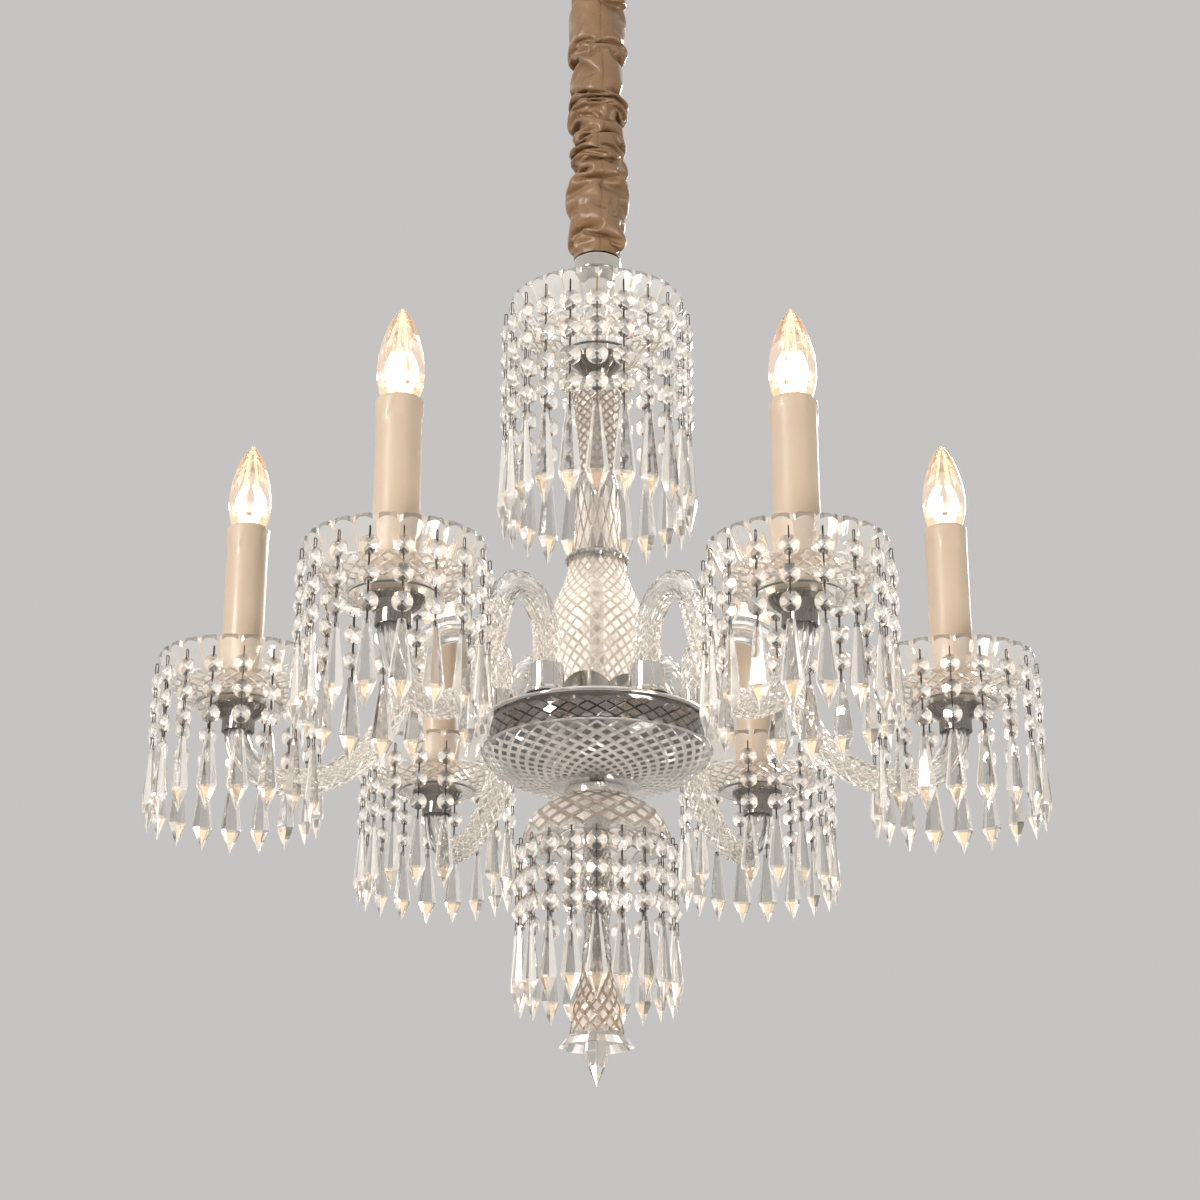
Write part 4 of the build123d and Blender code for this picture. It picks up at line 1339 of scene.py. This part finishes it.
@dataclass
class CandleSleeves:
    """Ivory tubes with a lip of wax drips, one for each candle."""

    radius: float = 17.0
    bore_r: float = 15.2
    foot: float = 15.0
    top: float = 166.0
    drip_length: float = 26.0

    def draft(self, seed: int) -> Draft:
        """One sleeve about the Z axis.

        Args:
            seed: Number that sets where its drips run.

        Returns:
            The sleeve.
        """
        count = 72
        shares = [0.0, 0.3, 0.6, 0.74, *(0.76 + 0.22 * k / 16 for k in range(17)), 0.99, 0.997, 1.0]
        rows = []
        for share in shares:
            height = self.foot + share * (self.top - self.foot)
            soften = -1.3 * max(0.0, (share - 0.985) / 0.015) ** 2
            row = []
            for i in range(count):
                angle = ROUND * i / count
                where = Vector((math.cos(angle) * 1.6, math.sin(angle) * 1.6, seed * 7.3))
                ragged = 0.55 + 0.55 * noise.noise(where) + 0.25 * noise.noise(where * 3.1)
                reach = self.drip_length * ragged
                under = (height - (self.top - reach)) / 5.0
                swell = 0.9 / (1 + math.exp(-4 * (under - 0.5)))
                row.append(polar(self.radius + swell + soften, angle, height))
            rows.append(row)
        draft = Draft()
        draft.loop(rows + [circle(self.bore_r, h, count) for h in (self.top - 0.2, self.foot)])
        return draft

    def make(self) -> None:
        """Builds the six sleeves."""
        for i in range(ARM_COUNT):
            sleeve = self.draft(i).copies([candle_place(i)]).build(f"ivory_sleeve_{i + 1}", WAX, 40.0)
            settle(sleeve, "fixture", "candle_sleeves")


@dataclass
class Lamps:
    """Clear candle lamps with a screw cap, a glass mount and lit filaments."""

    cap_foot: float = 130.0
    cap_r: float = 6.9
    neck: float = 156.0
    tip: float = 242.0
    glass_r: float = 17.7
    wall: float = 0.8
    threads: int = 5

    def envelope(self) -> Draft:
        """Pointed glass envelope, hollow, with the mount inside."""
        n, t = self.neck, self.wall
        outer = Profile([
            (8.6, n), (12.6, n + 9), (16.6, n + 22), (self.glass_r, n + 34), (16.0, n + 50),
            (10.5, n + 69), (4.2, n + 81), (0.01, self.tip),
        ])
        inner = Profile([
            (8.6 - t, n + t), (12.6 - t, n + 9.3), (16.6 - t, n + 22.2), (self.glass_r - t, n + 34),
            (16.0 - t, n + 49.6), (10.5 - t, n + 68.3), (3.6, n + 79.8), (0.01, self.tip - 2),
        ])
        mount = Profile([(2.6, n + t), (2.4, n + 8), (1.6, n + 14), (0.9, n + 20), (0.01, n + 22)])
        draft = Draft()
        count = 64
        foot = draft.ring(circle(7.0, n, count))
        bed = draft.ring(circle(2.6, n + t, count))
        for profile, start, steps in ((outer, foot, 36), (inner, bed, 36), (mount, bed, 10)):
            draft.loft(profile.rings([k / steps for k in range(steps + 1)], count), start)
        return draft

    def cap(self) -> Draft:
        """Screw cap with rolled threads."""
        outline = [(0.01, self.cap_foot), (2.4, self.cap_foot), (4.4, self.cap_foot + 2.4)]
        low, high = self.cap_foot + 4, self.neck - 4
        steps = self.threads * 8
        for k in range(steps + 1):
            wave = 0.45 * math.sin(ROUND * self.threads * k / steps)
            outline.append((self.cap_r - 0.5 + wave, low + (high - low) * k / steps))
        outline += [(self.cap_r, self.neck - 2), (self.cap_r, self.neck), (0.01, self.neck)]
        draft = Draft()
        draft.loop(circle(r, h, 48) for r, h in outline)
        return draft

    def wire(self, draft: Draft, line: Sequence[tuple[float, float, float]], thick: float) -> None:
        """Adds a round wire.

        Args:
            draft: Draft that gets the wire.
            line: Its (x, y, height) points.
            thick: Its radius.
        """
        turns = [ROUND * k / 6 for k in range(6)]
        round_wire = [(thick * math.cos(a), thick * math.sin(a)) for a in turns]
        rows = [[((x + dx) * MM, (y + dy) * MM, up(h)) for dx, dy in round_wire] for x, y, h in line]
        foot = draft.ring(rows[0])
        head = draft.loft(rows[1:], foot)
        draft.face(*foot)
        draft.face(*head)

    def filaments(self) -> Draft:
        """Four lit filaments in the lower half of the lamp."""
        draft = Draft()
        foot, head = self.neck + 19.0, self.neck + 44.0
        for turn in range(4):
            angle = math.pi * (0.25 + turn / 2)
            line = []
            for share in (k / 8 for k in range(9)):
                out = 2.4 + 2.6 * math.sin(math.pi * share)
                line.append((out * math.cos(angle), out * math.sin(angle), foot + share * (head - foot)))
            self.wire(draft, line, 1.0)
        return draft

    def leads(self) -> Draft:
        """Wires from the glass mount to the filaments and on towards the tip."""
        draft = Draft()
        foot, head = self.neck + 3.0, self.neck + 19.0
        for side in (-1, 1):
            self.wire(draft, [(side * 1.6, 0, foot), (side * 2.4, 0, head)], 0.35)
            self.wire(draft, [(side * 2.4, 0, self.neck + 44.0), (side * 0.6, 0, self.tip - 8.0)], 0.45)
        return draft

    def make(self) -> None:
        """Builds the six lamps."""
        parts = (
            ("glass", self.envelope(), LAMP_GLASS),
            ("cap", self.cap(), STEEL),
            ("filament", self.filaments(), FILAMENT),
            ("leads", self.leads(), LEAD_WIRE),
        )
        for i in range(ARM_COUNT):
            for name, one, finish in parts:
                piece = one.copies([candle_place(i)]).build(f"lamp_{name}_{i + 1}", finish, 40.0)
                settle(piece, f"lamp_{i + 1}", f"bulb_{i + 1}")


# ---------------------------------------------------------------- satin sleeve


@dataclass(frozen=True)
class GatherZone:
    """A stretch of the chain's sleeve and how much cloth is pushed into it.

    Attributes:
        foot: Lower end, in metres.
        head: Upper end, in metres.
        fullness: Length of cloth over the stretch's length.
    """

    foot: float
    head: float
    fullness: float


@dataclass
class SatinSleeve:
    """Satin tube that is pushed together over the chain until it puffs and folds.

    Attributes:
        zones: Stretches from the collar up, with a tie between each two.
        radius: Radius of the cloth tube before it is gathered.
        tie_r: Radius at a tie.
        end_r: Radius of both ends.
        core_r: Radius of the chain's clear space inside.
        widest: Radius past which a puff is pressed back.
        seam_deg: Direction of the sewn seam.
        lap: Columns of cloth under the seam.
        around: Columns of the mesh.
        rows: Rows of the mesh.
        frames: Frames over which the cloth is gathered and settles.
        enlarged: Size of the simulated sleeve over the real one.
    """

    zones: tuple[GatherZone, ...] = (
        GatherZone(-0.3784, -0.335, 1.45),
        GatherZone(-0.335, -0.282, 1.40),
        GatherZone(-0.282, -0.232, 2.4),
        GatherZone(-0.232, -0.177, 2.4),
        GatherZone(-0.177, -0.126, 1.35),
        GatherZone(-0.126, -0.090, 1.5),
        GatherZone(-0.090, -0.050, 1.5),
    )
    radius: float = 0.0252
    tie_r: float = 0.0205
    end_r: float = 0.0200
    core_r: float = 0.0135
    widest: float = 0.0272
    seam_deg: float = -82.0
    lap: int = 2
    around: int = 72
    rows: int = 200
    frames: int = 40
    enlarged: float = 10.0

    def ties(self) -> np.ndarray:
        """Distances along the flat cloth at which the zones begin and end."""
        return np.concatenate([[0.0], np.cumsum([(z.head - z.foot) * z.fullness for z in self.zones])])

    def angles(self) -> np.ndarray:
        """Direction of every column, the seam first."""
        return math.radians(self.seam_deg) + 2 * math.pi * np.arange(self.around) / self.around

    def flat(self) -> np.ndarray:
        """Points of the tube before it is gathered, narrowed at both ends."""
        along = np.linspace(0, self.ties()[-1], self.rows + 1)
        points = []
        for place in along:
            share = place / along[-1]
            narrow = min(1.0, self.end_r / self.radius + 4.0 * min(share, 1 - share))
            for angle in self.angles():
                where = Vector((math.cos(angle) * 1.4, math.sin(angle) * 1.4, share * 26 + 3))
                r = self.radius * narrow * (1 + 0.02 * noise.noise(where))
                points.append((r * math.cos(angle), r * math.sin(angle), self.zones[0].foot + place))
        return np.array(points)

    def gathered(self, flat: np.ndarray) -> np.ndarray:
        """Where the ties and the ends pull the tube's points to.

        Args:
            flat: Points of the loose tube.

        Returns:
            The pulled points.
        """
        ties = self.ties()
        heights = [self.zones[0].foot, *(z.head for z in self.zones)]
        points = []
        for x, y, z in flat:
            place = z - self.zones[0].foot
            angle = math.atan2(y, x)
            tied = max(0.0, 1 - float(np.abs(ties[1:-1] - place).min()) / 0.004)
            where = Vector((math.cos(angle) * 0.9, math.sin(angle) * 0.9, place / ties[-1] * 9 + 5))
            sway = noise.noise(where)
            pull = 1 - tied * (1 - self.tie_r / self.radius) * (0.8 + 0.5 * noise.noise(where * 2.0))
            pull = max(pull, 0.0172 / self.radius)
            points.append((x * pull, y * pull, float(np.interp(place, ties, heights)) + 0.006 * tied * sway))
        return np.array(points)

    def grid(self, name: str, points: np.ndarray) -> bpy.types.Object:
        """A closed tube of quads for the simulation, enlarged.

        Args:
            name: Name of the tube.
            points: Its points, row by row.

        Returns:
            The tube.
        """
        faces = []
        for low in range(0, len(points) - self.around, self.around):
            for i in range(self.around):
                k = (i + 1) % self.around
                faces.append((low + i, low + k, low + self.around + k, low + self.around + i))
        mesh = bpy.data.meshes.new(name)
        mesh.from_pydata((points * self.enlarged).tolist(), [], faces)
        tube = bpy.data.objects.new(name, mesh)
        bpy.context.scene.collection.objects.link(tube)
        return tube

    def hold(self, tube: bpy.types.Object) -> None:
        """Weights the ends, the ties and the seam that the gathering moves.

        Args:
            tube: The loose tube.
        """
        holds = tube.vertex_groups.new(name="holds")
        ties = self.ties()
        step = ties[-1] / self.rows
        for j in range(self.rows + 1):
            tied = float(np.abs(ties[1:-1] - j * step).min()) < 0.5 * step
            for i in range(self.around):
                weight = 0.5 if tied else 0.06 if i == 0 else 0.0
                if min(j, self.rows - j) < 2:
                    weight = 1.0
                if weight:
                    holds.add([j * self.around + i], weight, "REPLACE")

    def add_cloth(self, tube: bpy.types.Object) -> None:
        """Makes the loose tube a soft cloth that is puffed a little from inside.

        Args:
            tube: The loose tube.
        """
        modifier = tube.modifiers.new("satin", "CLOTH")
        cloth, touch = modifier.settings, modifier.collision_settings
        cloth.quality = 5
        cloth.mass = 0.25
        cloth.tension_stiffness = cloth.compression_stiffness = 20
        cloth.shear_stiffness = 6
        cloth.bending_stiffness = 6
        cloth.tension_damping = cloth.compression_damping = 8
        cloth.bending_damping = 1.0
        cloth.air_damping = 1.0
        cloth.vertex_group_mass = "holds"
        cloth.effector_weights.gravity = 0.0
        cloth.use_pressure = True
        cloth.uniform_pressure_force = 2.0
        touch.use_self_collision = True
        touch.self_distance_min = 0.008
        touch.distance_min = 0.006
        touch.collision_quality = 2
        modifier.point_cache.frame_start = 1
        modifier.point_cache.frame_end = self.frames

    def simulate(self) -> np.ndarray:
        """Gathers the tube with Blender's cloth over the chain's clear space.

        Returns:
            The settled points, row by row from the foot.
        """
        scene = bpy.context.scene
        flat = self.flat()
        tube = self.grid("loose_satin", flat)
        tube.shape_key_add(name="flat")
        key = tube.shape_key_add(name="gathered")
        key.data.foreach_set("co", (self.gathered(flat) * self.enlarged).ravel())
        for frame_number, value in ((1, 0.0), (self.frames - 8, 1.0)):
            key.value = value
            key.keyframe_insert("value", frame=frame_number)
        self.hold(tube)
        turn = np.stack([np.cos(self.angles()), np.sin(self.angles()), np.zeros(self.around)], 1)
        levels = np.linspace(self.zones[0].foot - 0.02, self.zones[-1].head + 0.3, 40)
        chain = self.grid("chain_space", np.concatenate([turn * self.core_r + [0, 0, z] for z in levels]))
        chain.modifiers.new("solid", "COLLISION")
        chain.collision.thickness_outer = 0.004
        self.add_cloth(tube)
        last = scene.frame_end
        scene.frame_end = self.frames
        for frame_number in range(1, self.frames + 1):
            scene.frame_set(frame_number)
        settled = tube.evaluated_get(bpy.context.evaluated_depsgraph_get())
        points = np.empty(3 * len(settled.data.vertices))
        settled.data.vertices.foreach_get("co", points)
        scene.frame_end = last
        for used in (tube, chain):
            mesh = used.data
            bpy.data.objects.remove(used)
            bpy.data.meshes.remove(mesh)
        for action in list(bpy.data.actions):
            bpy.data.actions.remove(action)
        scene.frame_set(1)
        return points.reshape(-1, 3) / self.enlarged

    def make(self) -> None:
        """Builds the sleeve with its seam open, as it was cut, and lapped under itself."""
        points = self.simulate()
        radii = np.hypot(points[:, 0], points[:, 1])
        pressed = np.where(radii > self.widest, self.widest + 0.35 * (radii - self.widest), radii)
        points[:, :2] *= (pressed / radii)[:, None]
        draft = Draft()
        columns = self.around + self.lap + 1
        for row in points.reshape(self.rows + 1, self.around, 3):
            for i in range(columns):
                x, y, z = row[i % self.around]
                tuck = 0.0006 / math.hypot(x, y) if i >= self.around else 0.0
                draft.add((x * (1 - tuck), y * (1 - tuck), z))
        for j in range(self.rows):
            for low in range(j * columns, (j + 1) * columns - 1):
                draft.face(low, low + 1, low + columns + 1, low + columns)
        sleeve = draft.build("gathered_satin", SATIN, 180.0)
        rounded = sleeve.modifiers.new("rounded", "SUBSURF")
        rounded.levels = rounded.render_levels = 1
        smooth = bpy.data.meshes.new_from_object(sleeve.evaluated_get(bpy.context.evaluated_depsgraph_get()))
        sleeve.modifiers.clear()
        sleeve.data = smooth
        settle(sleeve, "fixture", "chain_sleeve")


# ---------------------------------------------------------------- tiers


@dataclass
class Tiers:
    """The dishes of the candles and every ring of strands."""

    dish_strands: int = 18
    crown_strands: int = 22
    lower_strands: int = 20
    candle_ring: float = 67.8
    crown_ring: float = 78.0
    lower_ring: float = 62.5

    def make_dishes(self) -> None:
        """Builds the six candle dishes."""
        one = ScallopedDish(66.5, 50.0, 33.0, 12.0, 3.0, 5.3, 24).draft()
        for i in range(ARM_COUNT):
            dish = one.copies([candle_place(i)]).build(f"cut_dish_{i + 1}", CUT_GLASS, 14.0)
            settle(dish, "fixture", f"candle_dish_{i + 1}")

    def make(self) -> None:
        """Builds the dishes and the three tiers of strands."""
        self.make_dishes()
        over_arm = self.dish_strands // 2
        local = ring_places(self.dish_strands, self.candle_ring, (over_arm,))
        places = [candle_place(i) @ place for i in range(ARM_COUNT) for place in local]
        Strands(places, 42.5, 3, 26.3, 20.7, 7.5, -30.5, 65.0, 16.8).make("candle")
        places = ring_places(self.crown_strands, self.crown_ring, phase=0.5)
        Strands(places, 361.0, 4, 339.5, 25.0, 9.2, 242.5, 86.0, 19.4).make("crown")
        places = ring_places(self.lower_strands, self.lower_ring)
        Strands(places, -100.0, 3, -114.5, 22.0, 8.1, -174.5, 65.5, 16.8).make("lower")


# ---------------------------------------------------------------- frame's own pieces


def dress_frame() -> None:
    """Gives the frame's own nodes their finishes, by the record's slots."""
    finishes = {f.slot: f for f in (CHROME, STEEL, BRASS, WAX, SATIN, HOLDER, TERMINAL, CRYSTAL, LAMP_GLASS)}
    special = {
        "hub_drum": NICKEL,
        "dish_cups": NICKEL,
        "crown_cup": NICKEL,
        "central_rod": ROD_STEEL,
        "top_collar": SILVER,
    }
    for part in frame["record"]["subparts"]:
        node = frame["nodes"][part["node"]]
        finish = special.get(part["node"], finishes[part["material_slot"]])
        node.data.materials.clear()
        node.data.materials.append(finish.material())
        LOG.info("%s: %s", node.name, finish.name)


# ---------------------------------------------------------------- studio


@dataclass
class Studio:
    """Pale backdrop, floor, soft lamps and the camera of the photograph's view.

    Attributes:
        rise_deg: How far the camera looks up.
        distance: Camera to the point that it looks at.
        look_z: Height of that point on the stem.
        focal_px: Focal length in pixels of the photograph.
        frame_px: Side of the photograph in pixels.
        axis_px: Column of the stem in the photograph.
        sensor: Sensor width in millimetres.
        floor_z: Height of the floor.
        pale: Colour of the backdrop as the camera sees it.
        ambient: Colour of the light from all round.
        sky: Level that metal and glass see at each share of the way from underfoot to overhead.
    """

    rise_deg: float = 20.5
    distance: float = 2.016
    look_z: float = -0.690
    focal_px: float = 2464.0
    frame_px: float = 1200.0
    axis_px: float = 597.0
    sensor: float = 36.0
    floor_z: float = -4.4
    pale: Color = (0.56, 0.55, 0.54)
    ambient: Color = (0.32, 0.315, 0.31)
    sky: tuple[Point, ...] = (
        (0.0, 0.62), (0.28, 0.56), (0.70, 0.58), (0.77, 0.95), (0.86, 1.2), (0.88, 0.25), (0.91, 0.25),
        (0.93, 1.3), (1.0, 1.3),
    )

    def camera(self) -> None:
        """Makes the camera."""
        data = bpy.data.cameras.new("view")
        data.sensor_width = self.sensor
        data.lens = self.sensor * self.focal_px / self.frame_px
        rise = math.radians(self.rise_deg)
        aim = Vector((0, math.cos(rise), math.sin(rise)))
        off = (self.frame_px / 2 - self.axis_px) / self.focal_px * self.distance
        camera = bpy.data.objects.new("view", data)
        camera.location = Vector((off, 0, self.look_z)) - aim * self.distance
        camera.rotation_euler = (RIGHT + rise, 0, 0)
        bpy.context.scene.collection.objects.link(camera)
        bpy.context.scene.camera = camera

    def world(self) -> None:
        """Pale surroundings that darken overhead and underfoot for reflections."""
        world = bpy.data.worlds.new("studio")
        bpy.context.scene.world = world
        world.use_nodes = True
        board = Board(world.node_tree)
        place = board.node("TexCoord", {}).outputs["Generated"]
        height = board.node("SeparateXYZ", {"Vector": place}).outputs["Z"]
        level = board.node("MapRange", {"Value": height, "From Min": -1.0, "From Max": 1.0})
        ramp = board.node("ValToRGB", {"Fac": level.outputs["Result"]})
        elements = ramp.color_ramp.elements
        while len(elements) < len(self.sky):
            elements.new(0.5)
        for element, (position, grey) in zip(elements, self.sky):
            element.position = position
            element.color = (grey, grey * 0.985, grey * 0.965, 1.0)
        rays = board.node("LightPath", {}).outputs
        sharp = {0: rays["Is Glossy Ray"], 1: rays["Is Transmission Ray"]}
        either = board.node("Math", sharp, operation="MAXIMUM").outputs["Value"]
        seen = board.tint(either, self.ambient, ramp.outputs["Color"])
        color = board.tint(rays["Is Camera Ray"], seen, self.pale)
        board.feed(world.node_tree.nodes["Background"], {"Color": color})

    def floor(self) -> None:
        """Wide pale floor far below the chandelier."""
        turns = np.linspace(0, ROUND, 48, False)
        rows = [[(r * math.cos(a), r * math.sin(a), self.floor_z) for a in turns] for r in (3, 14)]
        draft = Draft()
        inner = draft.ring(rows[0])
        draft.loft(rows[1:], inner)
        draft.face(*inner)
        finish = Backdrop("pale_floor", "crystal", (0.84, 0.83, 0.82), 0.7, 0.05, 2.0)
        draft.build("floor", finish)

    def lamp(self, name: str, place: Sequence[float], size: float, power: float, color: Color) -> None:
        """Makes one soft area lamp that faces the stem.

        Args:
            name: Name of the lamp.
            place: Where it stands.
            size: Side of its square.
            power: Power in watts.
            color: Colour of its light.
        """
        data = bpy.data.lights.new(name, "AREA")
        data.shape = "SQUARE"
        data.size = size
        data.energy = power
        data.color = color
        lamp = bpy.data.objects.new(name, data)
        lamp.location = place
        aim = Vector((0, 0, self.look_z)) - Vector(place)
        lamp.rotation_euler = aim.to_track_quat("-Z", "Y").to_euler()
        bpy.context.scene.collection.objects.link(lamp)

    def make(self) -> None:
        """Builds the studio."""
        self.camera()
        self.world()
        self.floor()
        self.lamp("key", (-2.5, -2.4, 0.0), 1.0, 86.0, (1.0, 0.97, 0.93))
        self.lamp("fill", (2.3, -2.0, -2.4), 1.2, 55.0, (1.0, 0.97, 0.93))
        self.lamp("rim", (1.4, 3.0, 0.9), 0.9, 60.0, (1.0, 0.95, 0.9))
        bpy.context.scene.view_settings.view_transform = "Standard"


def main() -> None:
    logging.basicConfig(level=logging.INFO, format="%(name)s: %(message)s")
    Studio().make()
    dress_frame()
    for assembly in (Stem, HangingDrop, GlassArms, CandleSleeves, Lamps, Tiers, SatinSleeve):
        assembly().make()


if __name__ == "__main__":
    main()
